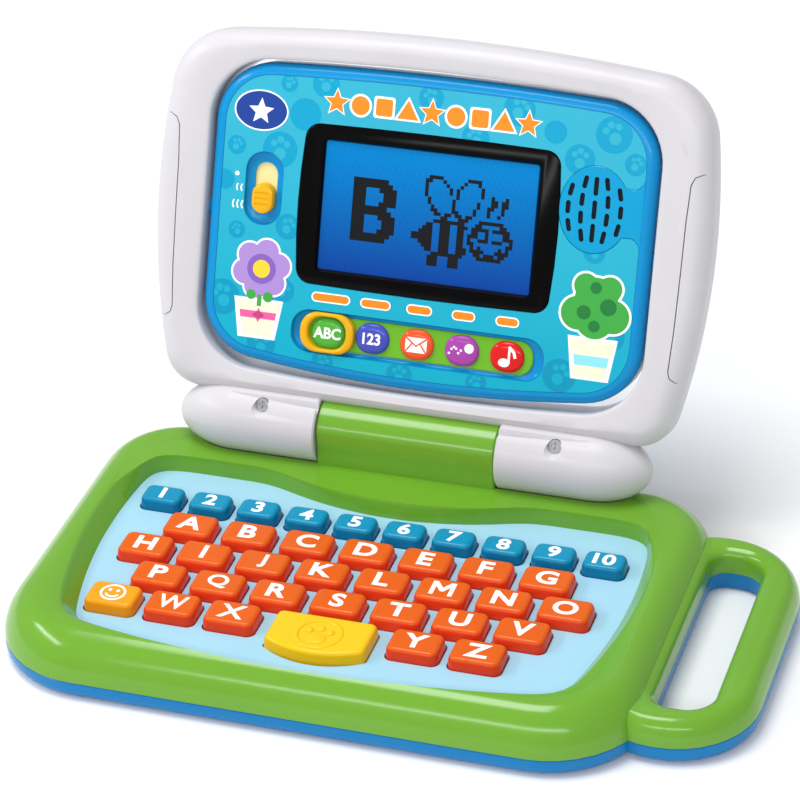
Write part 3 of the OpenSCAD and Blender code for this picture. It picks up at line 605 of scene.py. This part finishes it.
front_mouth = ((0, 2.2), (0.25, 1.6), (0.8, 1.2), (2, 1), (5, 0.55), (8, 0.2), (10.5, 0))
front = loft("lid_front", rolled(lid_outline, lid_mid, lid_front, lid_roll), lid_place)
for side in (-1, 1):
    profile = [(side * 37.1, 13.9), (side * 37.7, barrel_radius), (side * barrel_straight, barrel_radius)]
    profile += [(side * (barrel_straight + 24.5 * math.sin(math.radians(a))),
        barrel_radius * math.cos(math.radians(a))) for a in range(6, 91, 6)]
    carve(front, turned("barrel", profile, hinge), "UNION")
carve(front, opening_tool(lid_mid - 3, lid_front, front_mouth))
for side in (-1, 1):
    well = [level(disc(side * 60.3, 7.2, r, 32), w)
        for r, w in ((2.9, 8), (2.9, 12.1), (3.2, 12.6), (3.9, 13.4), (5, 14.5))]
    carve(front, loft("screw_well", well, lid_place))
    grip_edge = [(side * x, v) for x, v in ((120, 119), (108, 119), (105, 117.6), (103.6, 114.5), (103, 100),
        (102.8, 79), (102.4, 58), (101.6, 42), (102.4, 39.4), (104.6, 38), (120, 37))]
    carve(front, loft("grip_groove", [level(band(grip_edge, 0.22), w) for w in (7.4, 12)], lid_place))
fit(front, white, "lid", ["lid_front_frame"], 35)
rear = loft("lid_rear", rolled(lid_outline, lid_mid, lid_back, lid_roll), lid_place)
carve(rear, opening_tool(lid_mid + 3, lid_back, ((0, 1.2), (0.3, 0.4), (1, 0))))
side_screws = [(side * 99.5, v) for side in (-1, 1) for v in (34, 130)]
for u, v in side_screws:
    carve(rear, loft("screw_well", [level(disc(u, v, 3, 32), w) for w in (-14, -9.8)], lid_place))
carve(rear, turned("knuckle_room", ((-36.9, 13.6), (36.9, 13.6)), hinge))
fit(rear, white, "lid", ["lid_rear_frame"], 35)


# ---------- Screen unit shells ----------
# The blue housing that turns over in the lid on two stubs, with a shallow pocket for its printed plate.
# Glossy ABS, front and rear halves clipped together.

unit_front, unit_back, unit_roll = 7.1, -10.5, 4
# Glossy ABS: a bright blue edge round the printed plate, with a thin highlight where it rolls over
unit_blue = moulded("glossy_bright_blue_abs", "#0b8cca", 0.2)


def unit_outline(inset):
    """The screen unit's outer edge"""
    corners = ((66, 48.1, 24), (66, 118.8, 24), (-66, 118.8, 24), (-66, 48.1, 24))
    return rounded(corners, (0, 1.8, 0, 4.2), inset, 10, 12)


def pill(w, h, at=(0, 0), r=None, bows=(0, 0, 0, 0), inset=0, bend=8, run=4):
    """A bar of width w and height h with rounded ends"""
    r = min(w, h) / 2 if r is None else r
    x, y = w / 2 - r, h / 2 - r
    return rounded(((at[0] + x, at[1] - y, r), (at[0] + x, at[1] + y, r), (at[0] - x, at[1] + y, r),
        (at[0] - x, at[1] - y, r)), bows, inset, bend, run)


volume_at, mode_v, display_v, stub_v = (-67.6, 93), 38.8, 89.4, 82.25


def bezel_outline(grow):
    """The display's surround, with slightly bulging sides"""
    return pill(103.4 + 2 * grow, 63.4 + 2 * grow, (0, display_v), 6 + grow, (1.2, 0.5, 1.2, 0.5))


shell = loft("unit_front_case", rolled(unit_outline, lid_mid, unit_front, unit_roll), lid_place)
carve(shell, loft("pocket", [level(unit_outline(4.6), w) for w in (unit_front - 0.8, unit_front + 1)], lid_place))
carve(shell, loft("display", [level(bezel_outline(0.1), w) for w in (0, unit_front + 1)], lid_place))
for w, h, at in ((15.5, 29, volume_at), (103.6, 17, (0, mode_v))):
    dish = [level(pill(w - 2 * g, h - 2 * g, at, 7.5 - g), z)
        for g, z in ((1.2, 4.5), (0.6, 4.7), (0.2, 5.2), (0, 6), (0, 9))]
    carve(shell, loft("dish", dish, lid_place))
carve(shell, loft("slot", [level(pill(9.4, 20.4, volume_at), w) for w in (0, 8)], lid_place))
fit(shell, unit_blue, "screen_unit", ["unit_front_shell"], 35)
back_case = loft("unit_rear_case", rolled(unit_outline, lid_mid, unit_back, unit_roll), lid_place)
carve(back_case, loft("pull_groove", [level(pill(34, 1.6, (-66.4, 55.5)), w) for w in (-12, -9)], lid_place))
stub_centre = lid_place @ (Vector((0, stub_v, lid_mid)) * mm) / mm
for side in (-1, 1):
    carve(back_case, turned("stub", ((side * 89, 4), (side * 95.5, 4)), stub_centre), "UNION")
fit(back_case, unit_blue, "screen_unit", ["unit_rear_shell"], 35)


# ---------- Printed faceplate ----------
# A turquoise plate in the unit's pocket, printed with discs and paw prints, a star badge and two pictures.
# Polystyrene sheet with a satin varnish over the ink; each ink is a film on top of the one below.

face_w = unit_front - 0.1
speaker_u, speaker_v = 66.4, 100.5
# Varnished ink films: satin colour painted lighter towards the top, a painted gradient of light, with no bump of its
# own
turquoise = moulded("satin_turquoise_film", "#04a8c4", 0.35, low=("#30acc8", 70, 150))
disc_ink = moulded("turquoise_disc_ink", "#0092b8", 0.35, low=("#009cc4", 70, 150))


def plate_tool(w0, w1):
    """The faceplate's form from w0 to w1, with its windows cut"""
    plate = loft("faceplate_print", [level(unit_outline(4.75), w) for w in (w0, w1)], lid_place)
    cuts = [bezel_outline(0.2), pill(15.8, 29.3, volume_at, 7.6), pill(103.9, 17.3, (0, mode_v), 7.6)]
    for cut in cuts:
        carve(plate, loft("window", [level(cut, w) for w in (w0 - 1, w1 + 1)], lid_place))
    carve(plate, loft("window", [level(island_outline(0.15), w) for w in (w0 - 1, w1 + 1)], lid_place))
    return plate


def island_outline(grow):
    """Speaker island: an oval with a neck that widens into the unit's right rim"""
    u, v = speaker_u, speaker_v
    oval = [(u + (14 + grow) * math.cos(math.radians(a)), v + (17 + grow) * math.sin(math.radians(a)))
        for a in range(34, 327, 4)]
    low = [(x, v - y - grow) for x, y in ((79.6, 9.6), (81.5, 9.3), (83.2, 10), (84.6, 11.5), (85.6, 14))]
    return oval + low + [(x, 2 * v - y) for x, y in reversed(low)]


face = plate_tool(unit_front - 0.8, face_w)
trim = plate_tool(unit_front - 0.4, unit_front + 1)
fit(face, turquoise, "screen_unit", ["faceplate"])
# Each disc's place and radius, and whether it has a paw print in it
prints = ((-60, 135.5, 3.5, 1), (-45, 137, 5.6, 1), (-52.5, 124, 6.4, 0), (-80, 109, 3.8, 1), (-62, 109, 7.2, 1),
    (-77.5, 75.5, 3.5, 1), (-56.5, 79, 5.1, 1), (-84, 95, 4, 0), (-81.5, 48, 7.2, 1), (-56.5, 53.5, 4.8, 1),
    (-64, 31, 6, 1), (17, 122.5, 5.6, 1), (33.5, 135.5, 6.4, 1), (48.5, 128.5, 4.5, 0), (71.5, 130, 7.2, 1),
    (81, 119.5, 4.3, 1), (59, 119, 6, 1), (68, 84, 4.3, 1), (58.5, 34.5, 6.7, 1), (-6, 26, 5.3, 1),
    (25.5, 27, 4.3, 1), (-38, 27, 4.5, 1), (78, 52, 5, 1), (-2, 136, 5, 1))
paw_marks = ((0, -0.22, 0.34), (-48, 0.5, 0.19), (0, 0.56, 0.2), (48, 0.5, 0.19))
spots, toes = [], []
for k, (u, v, r, kind) in enumerate(prints):
    spots.append(loft("spot", [level(disc(u, v, r), w) for w in (face_w - 0.1, face_w + 0.02)], lid_place))
    tilt = math.radians(90 + 22 * ((k % 3) - 1))
    for a, far, size in paw_marks if kind else ():
        way = tilt + math.radians(a)
        toes.append(loft("toe", [level(disc(u + r * far * math.cos(way), v + r * far * math.sin(way), r * size, 20), w)
            for w in (face_w - 1, face_w + 1)], lid_place))
spots = join(spots, "print_spots")
carve(spots, trim, "INTERSECT")
carve(spots, join(toes, "toes"))
fit(spots, disc_ink, "screen_unit")

# Printing inks under the same varnish: flat, even colours with a soft edge of light
inks = {name: moulded(name + "_ink", colour, 0.35, tone=0.03) for name, colour in (("orange", "#f58a1f"),
    ("navy", "#1b3f94"), ("purple", "#a98ad0"), ("violet", "#8560b8"), ("pink", "#ee5fa2"),
    ("leaf_green", "#3fa544"), ("dark_green", "#227a38"), ("sky", "#8fe0f0"), ("cream", "#f6ecd2"),
    ("yellow", "#f8d038"))}
inks["white"] = print_white
overlapping = ("dome_note", "dome_flap")


def printed(name, ink, outlines, layer, body="screen_unit", base=None):
    """One ink's film: its outlines on the faceplate, each layer a little above the last"""
    w = (face_w if base is None else base) + 0.03 * (layer + 1)
    parts = [loft(name, [level(o, w - 0.1), level(o, w)], lid_place) for o in outlines]
    if name in overlapping:
        piece = parts[0]
        for part in parts[1:]:
            carve(piece, part, "UNION")
    else:
        piece = join(parts, name)
    return fit(piece, inks[ink] if isinstance(ink, str) else ink, body)


def star(u, v, r, points=5, deep=0.45):
    return [(u + r * (deep if i % 2 else 1) * math.sin(math.pi * i / points), v + r * (deep if i % 2 else 1)
        * math.cos(math.pi * i / points)) for i in range(2 * points)]


badge_u, badge_v = -70.8, 123.7
for name, ink, grow, layer in (("badge_edge", "white", 0.6, 0), ("badge", "navy", 0, 1)):
    printed(name, ink, [[(badge_u + (10.6 + grow) * math.cos(a), badge_v + (7.5 + grow) * math.sin(a))
        for a in (math.pi * i / 32 for i in range(64))]], layer)
printed("badge_star", "white", [star(badge_u, badge_v - 0.4, 5.4)], 2)
band_edge, band_fill = [], []
for i in range(9):
    u, v = -40 + 9.7 * i, 130.2 - 0.25 * (i % 2)
    shapes = (lambda s: star(u, v, 5 + s), lambda s: disc(u, v, 3.7 + s),
        lambda s: soft_box(3.4 + s, 3.4 + s, 1, 1, (u, v), 3, 2),
        lambda s: [(u + (5 + s * 1.6) * math.sin(a), v - 0.8 + (5 + s * 1.6) * math.cos(a))
            for a in (0, -2.094, -4.189)])
    band_edge.append(shapes[i % 4](0.9))
    band_fill.append(shapes[i % 4](0))
printed("title_edge", "white", band_edge, 0)
printed("title_shapes", "orange", band_fill, 1)
words = ((-36.4, 15), (-17.9, 11.5), (0.1, 9.5), (18.2, 8.5), (36, 8.5))
label_v, sound_u = 52.8, -79
printed("mode_label_edge", "white", [pill(w + 1.1, 4, (u, label_v)) for u, w in words], 0)
printed("mode_labels", "orange", [pill(w, 2.9, (u, label_v)) for u, w in words], 1)
printed("sound_marks", "white", [disc(sound_u, 97.8, 0.9, 16)]
    + [band(arc(sound_u + 1.8 * i + 2.4, 92.4, 2.2, 142, 218), 0.3) for i in range(2)]
    + [band(arc(sound_u + 1.8 * i + 1.6, 85.7, 2.6, 142, 218), 0.3) for i in range(3)], 0)


def cloud(u, v, discs, grow=0, steps=120):
    """Outline of overlapping discs (u, v, radius) as seen from the point (u, v) inside them"""
    points = []
    for i in range(steps):
        ray = Vector((math.cos(2 * math.pi * i / steps), math.sin(2 * math.pi * i / steps)))
        reach = 1
        for cu, cv, r in discs:
            to = Vector((u - cu, v - cv))
            room = ray.dot(to) ** 2 - to.dot(to) + (r + grow) ** 2
            if room > 0:
                reach = max(reach, -ray.dot(to) + math.sqrt(room))
        points.append((u + ray.x * reach, v + ray.y * reach))
    return points


flower = (-66, 61)
petals = [(flower[0] + 7.2 * math.cos(a), flower[1] + 7.2 * math.sin(a), 4.9)
    for a in (math.radians(60 * k + 15) for k in range(6))]
printed("flower_pot_edge", "white", [[(-76.5, 49), (-56, 49), (-58.5, 33), (-74, 33)]], 0)
printed("flower_edge", "white", [cloud(*flower, petals, 0.8)], 1)
printed("flower_petals", "purple", [cloud(*flower, petals)], 2)
printed("flower_inner", "violet", [disc(*flower, 6, 32)], 3)
printed("flower_eye", "yellow", [disc(*flower, 3.6, 28)], 4)
printed("flower_stem", "leaf_green", [[(-66.9, 50.6), (-65.1, 50.6), (-65.1, 46), (-66.9, 46)],
    disc(-62.5, 50, 2.1, 20), disc(-69.6, 50.4, 2, 20)], 3)
printed("flower_pot", "cream", [[(-75.3, 47.8), (-57, 47.8), (-57.6, 43.6), (-74.7, 43.6)],
    [(-73.6, 43.6), (-58.7, 43.6), (-60.3, 34), (-72.2, 34)]], 2)
printed("flower_ribbon", "pink", [[(-73.9, 43.9), (-58.5, 43.9), (-58.9, 41), (-73.5, 41)],
    star(-66, 42.4, 3, 4, 0.5)], 3)
bush = (70.5, 62)
leaves = ((70.5, 66, 8.6), (63.5, 60, 6.6), (77.5, 60, 6.6), (70.5, 58, 7.5), (66, 71, 4.8), (75.6, 70.6, 4.8))
printed("bush_pot_edge", "white", [[(60.5, 51), (80.5, 51), (78, 34.2), (63, 34.2)]], 0)
printed("bush_edge", "white", [cloud(*bush, leaves, 0.9)], 1)
printed("bush_leaves", "leaf_green", [cloud(*bush, leaves)], 2)
printed("bush_shade", "dark_green", [disc(u, v, r, 24)
    for u, v, r in ((66, 60.5, 2.8), (75.5, 63.5, 3.3), (70, 70.5, 2.3), (70.5, 55.5, 2.3))], 3)
printed("bush_pot", "cream", [[(61.6, 49.8), (79.4, 49.8), (78.8, 45.4), (62.2, 45.4)],
    [(63.2, 45.4), (77.8, 45.4), (76.4, 35.2), (64.6, 35.2)]], 3)
printed("bush_band", "sky", [[(63.4, 43.8), (77.6, 43.8), (77, 39.8), (64, 39.8)]], 4)


# ---------- Display ----------
# A liquid-crystal panel behind a clear window, framed by a black bezel with slightly bulging sides.
# The glass glows blue, lighter at the top, and its segments are black.

# Glossy ABS: near black, with its shine held low so that it frames the lit display
black = moulded("glossy_black_abs", "#030304", 0.16, tone=0.02)
black.node_tree.nodes["Principled BSDF"].inputs["Specular IOR Level"].default_value = 0.08
bezel = loft("display_bezel", [level(bezel_outline(g), w) for g, w in ((0, 5), (0, unit_front - 0.3),
    (-0.25, unit_front + 0.05), (-0.7, unit_front + 0.2))], lid_place)
window = [level(pill(87 + 2 * g, 51.4 + 2 * g, (0, display_v), 1.6 + g), w) for g, w in ((0, 4), (0, 6.2), (0.7, 7.2), (1.2, 8))]
carve(bezel, loft("display_window", window, lid_place))
fit(bezel, black, "screen_unit", ["screen_bezel"])
# Backlit glass: a blue glow that brightens upwards, over a grid of cells 1.25 mm wide
glass, shader = new_material("backlit_display_glass")
place = add(glass, "ShaderNodeTexCoord")
rise = add(glass, "ShaderNodeSeparateXYZ", None, {"Vector": place.outputs["Object"]})
share = add(glass, "ShaderNodeMapRange", {"From Min": 96 * mm, "From Max": 144 * mm}, {"Value": rise.outputs["Z"]})
cells = add(glass, "ShaderNodeTexChecker",
    {"Scale": 1 / (1.25 * mm), "Color1": linear("#ffffff"), "Color2": linear("#f4f7fa")},
    {"Vector": place.outputs["Object"]})
ramp = add(glass, "ShaderNodeValToRGB", None, {"Fac": share.outputs["Result"]})
ramp.color_ramp.elements[0].color = linear("#0c3c92")
ramp.color_ramp.elements[1].color = linear("#007cc0")
glow = add(glass, "ShaderNodeMix", {"data_type": "RGBA", "blend_type": "MULTIPLY"})
glow.inputs[0].default_value = 1
glass.node_tree.links.new(ramp.outputs["Color"], glow.inputs[6])
glass.node_tree.links.new(cells.outputs["Color"], glow.inputs[7])
glass.node_tree.links.new(glow.outputs[2], shader.inputs["Base Color"])
glass.node_tree.links.new(glow.outputs[2], shader.inputs["Emission Color"])
shader.inputs["Emission Strength"].default_value = 0.12
shader.inputs["Roughness"].default_value = 0.3
shader.inputs["Specular IOR Level"].default_value = 0.08
paint_node("lcd_module", glass)
# Liquid crystal: its dark segments look like flat black ink behind the glass
segment_black = moulded("display_segment_black", "#02050c", 0.35, tone=0.02)


def segments(name, picture, cell, left, top):
    """Black cells of the display, one bar for each run of filled cells in a row"""
    bars = []
    for row, line in enumerate(picture):
        column = 0
        while column < len(line):
            run = 0
            while column + run < len(line) and line[column + run] != ".":
                run += 1
            if run:
                u0, u1 = left + column * cell, left + (column + run) * cell
                v0, v1 = top - (row + 1) * cell, top - row * cell
                bars.append([(u0, v0), (u1, v0), (u1, v1), (u0, v1)])
            column += max(run, 1)
    return printed(name, segment_black, bars, 0, base=unit_front - 1.2)


letter_b = ("########..", "#########.", "###...####", "###....###", "###....###", "###...####", "########..",
    "#########.", "###...####", "###....###", "###....###", "###...####", "#########.", "########..")
segments("display_letter", letter_b, 1.79, -31, 102)


def bee_cell(x, y):
    """True where the bee's picture is black, in cells from its middle"""
    def oval(cx, cy, rx, ry, turn=0):
        dx, dy = x - cx, y - cy
        c, s = math.cos(turn), math.sin(turn)
        return math.hypot((dx * c + dy * s) / rx, (dy * c - dx * s) / ry)
    face = oval(8.5, -4.5, 6, 5.6)
    body = oval(-3.5, -5, 8.6, 5.4)
    if face <= 1.05:
        eyes = 0.65 < oval(6.3, -3, 2, 2) < 1.1 or 0.65 < oval(10.7, -3, 2, 2) < 1.1
        mouth = 0.8 < oval(8.5, -5.6, 3.3, 2.7) < 1.15 and y < -6.4
        return face > 0.85 or eyes or mouth
    if face < 1.25:
        return False
    if body <= 1:
        return body > 0.83 or -11 < x < -8.2 or -6 < x < -3.2 or -1 < x < 1.6
    wings = any(0.82 < oval(cx, 6.2, 3.6, 6.2, turn) < 1.04 for cx, turn in ((-6.5, 0.45), (1.5, -0.35)))
    feelers = any(abs(x - cx - (y - 1) * 0.3) < 0.6 and 1 < y < 6 for cx in (7, 10.4))
    knobs = oval(8.8, 6.4, 1.3, 1.3) < 1 or oval(12.2, 6.4, 1.3, 1.3) < 1
    sting = -15 < x < -11 and abs(y + 5) < (x + 15.5) * 0.5
    feet = -13 < y < -9.5 and (abs(x + 7.5) < 1.1 or abs(x + 1.5) < 1.1)
    return wings or feelers or knobs or sting or feet


picture = ["".join("#" if bee_cell(i - 14.5, 13.5 - j) else "." for i in range(30)) for j in range(28)]
segments("display_bee", picture, 1.42, -7.5, 109)


# ---------- Speaker island ----------
# A blue island flush with the unit's rim, pierced by five columns of slots over the loudspeaker.
# Part of the front moulding; a dull black sheet behind the slots paints the shade inside them.

island = loft("speaker_island", [level(island_outline(g), w)
    for g, w in ((0, 5), (0, unit_front - 0.25), (-0.3, unit_front))], lid_place)
slots = []
bend_radius, column_pitch, slot_gap = 19, 5.2, 1.7
for column, count, long in ((-2, 3, 5.2), (-1, 4, 5.2), (0, 3, 7.4), (1, 4, 5.2), (2, 3, 5.2)):
    for i in range(count):
        a = math.asin((i - (count - 1) / 2) * (long + slot_gap) / bend_radius)
        x = column_pitch * column
        turn = math.atan2(x * math.sin(a), bend_radius * math.cos(a))
        u, v = speaker_u + x * math.cos(a), speaker_v + bend_radius * math.sin(a)
        slots.append([(u + p * math.cos(turn) - q * math.sin(turn), v + p * math.sin(turn) + q * math.cos(turn))
            for p, q in pill(1.9, long, bend=4, run=2)])
carve(island, join([loft("slot", [level(o, w) for w in (6.35, 8)], lid_place) for o in slots], "slots"))
# Glossy ABS of the shell's moulding, painted a shade lighter than the shell as painted light, so the island reads as
# its own raised form
island_blue_painted_lighter = moulded("glossy_blue_abs_painted_lighter", "#0698ca", 0.22)
fit(island, island_blue_painted_lighter, "screen_unit")
# Dull black sheet behind the slots: painted shade, so the slots look deep; the speaker is given the same dull black
slot_shade_black = moulded("speaker_black_and_slot_shade", "#101317", 0.7, 0.3)
slot_shade_sheet = loft("slot_shade_sheet", [level(pill(27, 33, (speaker_u, speaker_v), 13), w) for w in (6.25, 6.37)],
    lid_place)
fit(slot_shade_sheet, slot_shade_black, "screen_unit")
paint_node("speaker", slot_shade_black)


# ---------- Volume slide ----------
# A yellow knob in a glossy dish, over a pale floor; it slides up for louder sound.
# ABS, held by a foot behind the dish.

knob_u, knob_v = volume_at[0], 89
# Glossy ABS: a warm yellow that catches light on its eased edges and ribs
knob_yellow = moulded("glossy_sun_yellow_abs", "#e6ac14", 0.22)
# Satin ABS: a pale floor that the knob stands out from
pale = moulded("satin_pale_yellow_abs", "#f4e6a2", 0.4)
volume_floor = loft("volume_floor", [level(pill(12.4, 32, (knob_u, knob_v + 1)), w) for w in (2.4, 3.4)], lid_place)
fit(volume_floor, pale, "volume")
knob = loft("knob", [level(pill(8.8 - 2 * g, 12 - 2 * g, (knob_u, knob_v)), w)
    for g, w in ((0, 3.2), (0, 7.6), (0.3, 8.1), (1, 8.4), (1.8, 8.5))], lid_place)
for dv in (-2.2, 0, 2.2):
    carve(knob, loft("rib", [level(pill(6, 0.9, (knob_u, knob_v + dv)), w) for w in (8.2, 9)], lid_place))
fit(knob, knob_yellow, "volume", ["volume_knob"])


# ---------- Mode slide ----------
# A green strip with five domed pictures; a yellow ring slides over them to choose what the toy plays.
# Strip and domes are glossy ABS, and the ring is held by lips in the dish's groove.

mode_pitch = 18.4
selected_u = -2 * mode_pitch
# Glossy ABS: a leaf green ground for the domes
strip_green = moulded("glossy_leaf_green_abs", "#6db52c", 0.22)
dish_floor = unit_front - 2.6
strip = loft("mode_strip", [level(pill(96 - 2 * g, 13.6 - 2 * g, (-0.8, mode_v), 6 - g), dish_floor + rise)
    for g, rise in ((0, -0.1), (0, 0.5), (0.4, 0.8))], lid_place)
fit(strip, strip_green, "screen_unit")
dome_profile = [(g, dish_floor + rise)
    for g, rise in ((0, 0.5), (0.1, 1.3), (0.5, 1.9), (1.3, 2.3), (2.6, 2.5), (4, 2.55))]
dome_top = dish_floor + 2.55
# Glossy ABS in five colours: each dome is the smoothest part of the toy, with a small bright highlight
dome_colours = (("green", "#4fae3a"), ("blue_violet", "#4450b6"), ("red_orange", "#e8552a"),
    ("purple", "#a545a6"), ("red", "#d8201f"))
for i, (name, colour) in enumerate(dome_colours):
    u = mode_pitch * (i - 2)
    rings = [level(pill(14 - 2 * g, 12.4 - 2 * g, (u, mode_v), 6 - g), w) for g, w in dome_profile]
    fit(loft("dome_" + name, rings, lid_place), moulded("glossy_" + name + "_abs", colour, 0.12), "screen_unit", angle=60)


def dome_words(name, words, u):
    """White lettering on a dome's crown"""
    piece = lettering(name, words, 4.6, 0.95, 0.03)
    piece.data.transform(lid_place @ Matrix.Translation(Vector((u, mode_v, dome_top + 0.03)) * mm))
    return fit(piece, print_white, "screen_unit")


dome_words("dome_abc", "ABC", selected_u)
dome_words("dome_numbers", "123", -mode_pitch)
printed("dome_letter", "white", [soft_box(4.4, 3, 0.6, 0.6, (0, mode_v), 3, 2)], 0, base=dome_top)
red_orange_line = moulded("red_orange_ink", "#e8552a", 0.35)
printed("dome_flap", red_orange_line, [band([(-4.2, mode_v + 2.8), (0, mode_v - 0.4), (4.2, mode_v + 2.8)], 0.35),
    band([(-4.2, mode_v - 2.8), (-1.6, mode_v + 0.6)], 0.3), band([(4.2, mode_v - 2.8), (1.6, mode_v + 0.6)], 0.3)],
    1, base=dome_top)
hops = [(13.6 + 0.95 * k, mode_v - 1.2 + 2.6 * abs(math.sin(k * 0.75))) for k in range(6)]
printed("dome_ball", "white", [disc(21.6, mode_v + 1.4, 1.9, 24)] + [disc(u, v, 0.5, 12) for u, v in hops],
    0, base=dome_top)
note = [[(36 + 2.3 * math.cos(a), mode_v - 2.2 + 1.7 * math.sin(a)) for a in (math.pi * i / 14 for i in range(28))],
    band([(37.9, mode_v - 2.2), (37.9, mode_v + 4.4)], 0.45),
    band([(37.7, mode_v + 4.2), (39.8, mode_v + 2.2), (40.4, mode_v)], 0.6)]
printed("dome_note", "white", note, 0, base=dome_top)
ring_outer = [level(pill(22.4 - 2 * g, 16.2 - 2 * g, (selected_u, mode_v), 7 - g), w)
    for g, w in ((0.3, 4.7), (0, 5.2), (0, 7.2), (0.3, 7.9), (0.9, 8.25), (1.6, 8.3))]
selector = loft("selector_ring", ring_outer, lid_place)
ring_hole = [level(pill(15.6 + 2 * g, 12.8 + 2 * g, (selected_u, mode_v), 5.8 + g), w)
    for g, w in ((0, 4), (0, 7.2), (0.3, 7.9), (0.9, 8.25), (1, 9))]
carve(selector, loft("ring_hole", ring_hole, lid_place))
fit(selector, knob_yellow, "mode", ["mode_ring"])


# ---------- Screws, battery box and boards ----------
# Steel screws and pins, and the parts inside and below: rubber domes, circuit boards, battery cells and door.
# These keep their CAD shapes and take the finish of the real material.


def metal(name, colour, rough, scratch):
    """Bright metal with fine turning marks"""
    material, shader = new_material(name)
    place = add(material, "ShaderNodeTexCoord")
    marks = add(material, "ShaderNodeTexNoise", {"Scale": 1 / (scratch * mm), "Detail": 4.0},
        {"Vector": place.outputs["Object"]})
    shade = add(material, "ShaderNodeMapRange", {"To Min": 0.85, "To Max": 1.1}, {"Value": marks.outputs["Fac"]})
    tint = add(material, "ShaderNodeHueSaturation", {"Color": linear(colour)}, {"Value": shade.outputs["Result"]})
    wear = add(material, "ShaderNodeMapRange", {"To Min": rough * 0.7, "To Max": rough * 1.3},
        {"Value": marks.outputs["Fac"]})
    material.node_tree.links.new(tint.outputs["Color"], shader.inputs["Base Color"])
    material.node_tree.links.new(wear.outputs["Result"], shader.inputs["Roughness"])
    shader.inputs["Metallic"].default_value = 1
    return material


# Zinc-plated steel: a cool bright sparkle in the screw wells
steel = metal("zinc_plated_steel", "#c9cbce", 0.3, 0.4)
for name in ("lid_screws", "case_screws", "hinge_pins", "battery_contacts"):
    paint_node(name, steel)
# Printed foil: the cells' warm metal sleeve
paint_node("battery_cells", metal("printed_cell_foil", "#c9a227", 0.35, 2))
paint_node("battery_door", blue)
# Silicone rubber: soft grey with no shine
paint_node("dome_sheet", moulded("grey_silicone_rubber", "#cfcfc8", 0.6))
# Solder resist: a dark green film, with the mottle of the glass cloth under it
board = moulded("green_solder_resist", "#1e6b3a", 0.3, 0.8, 0.15)
paint_node("keyboard_board", board)
paint_node("main_board", board)
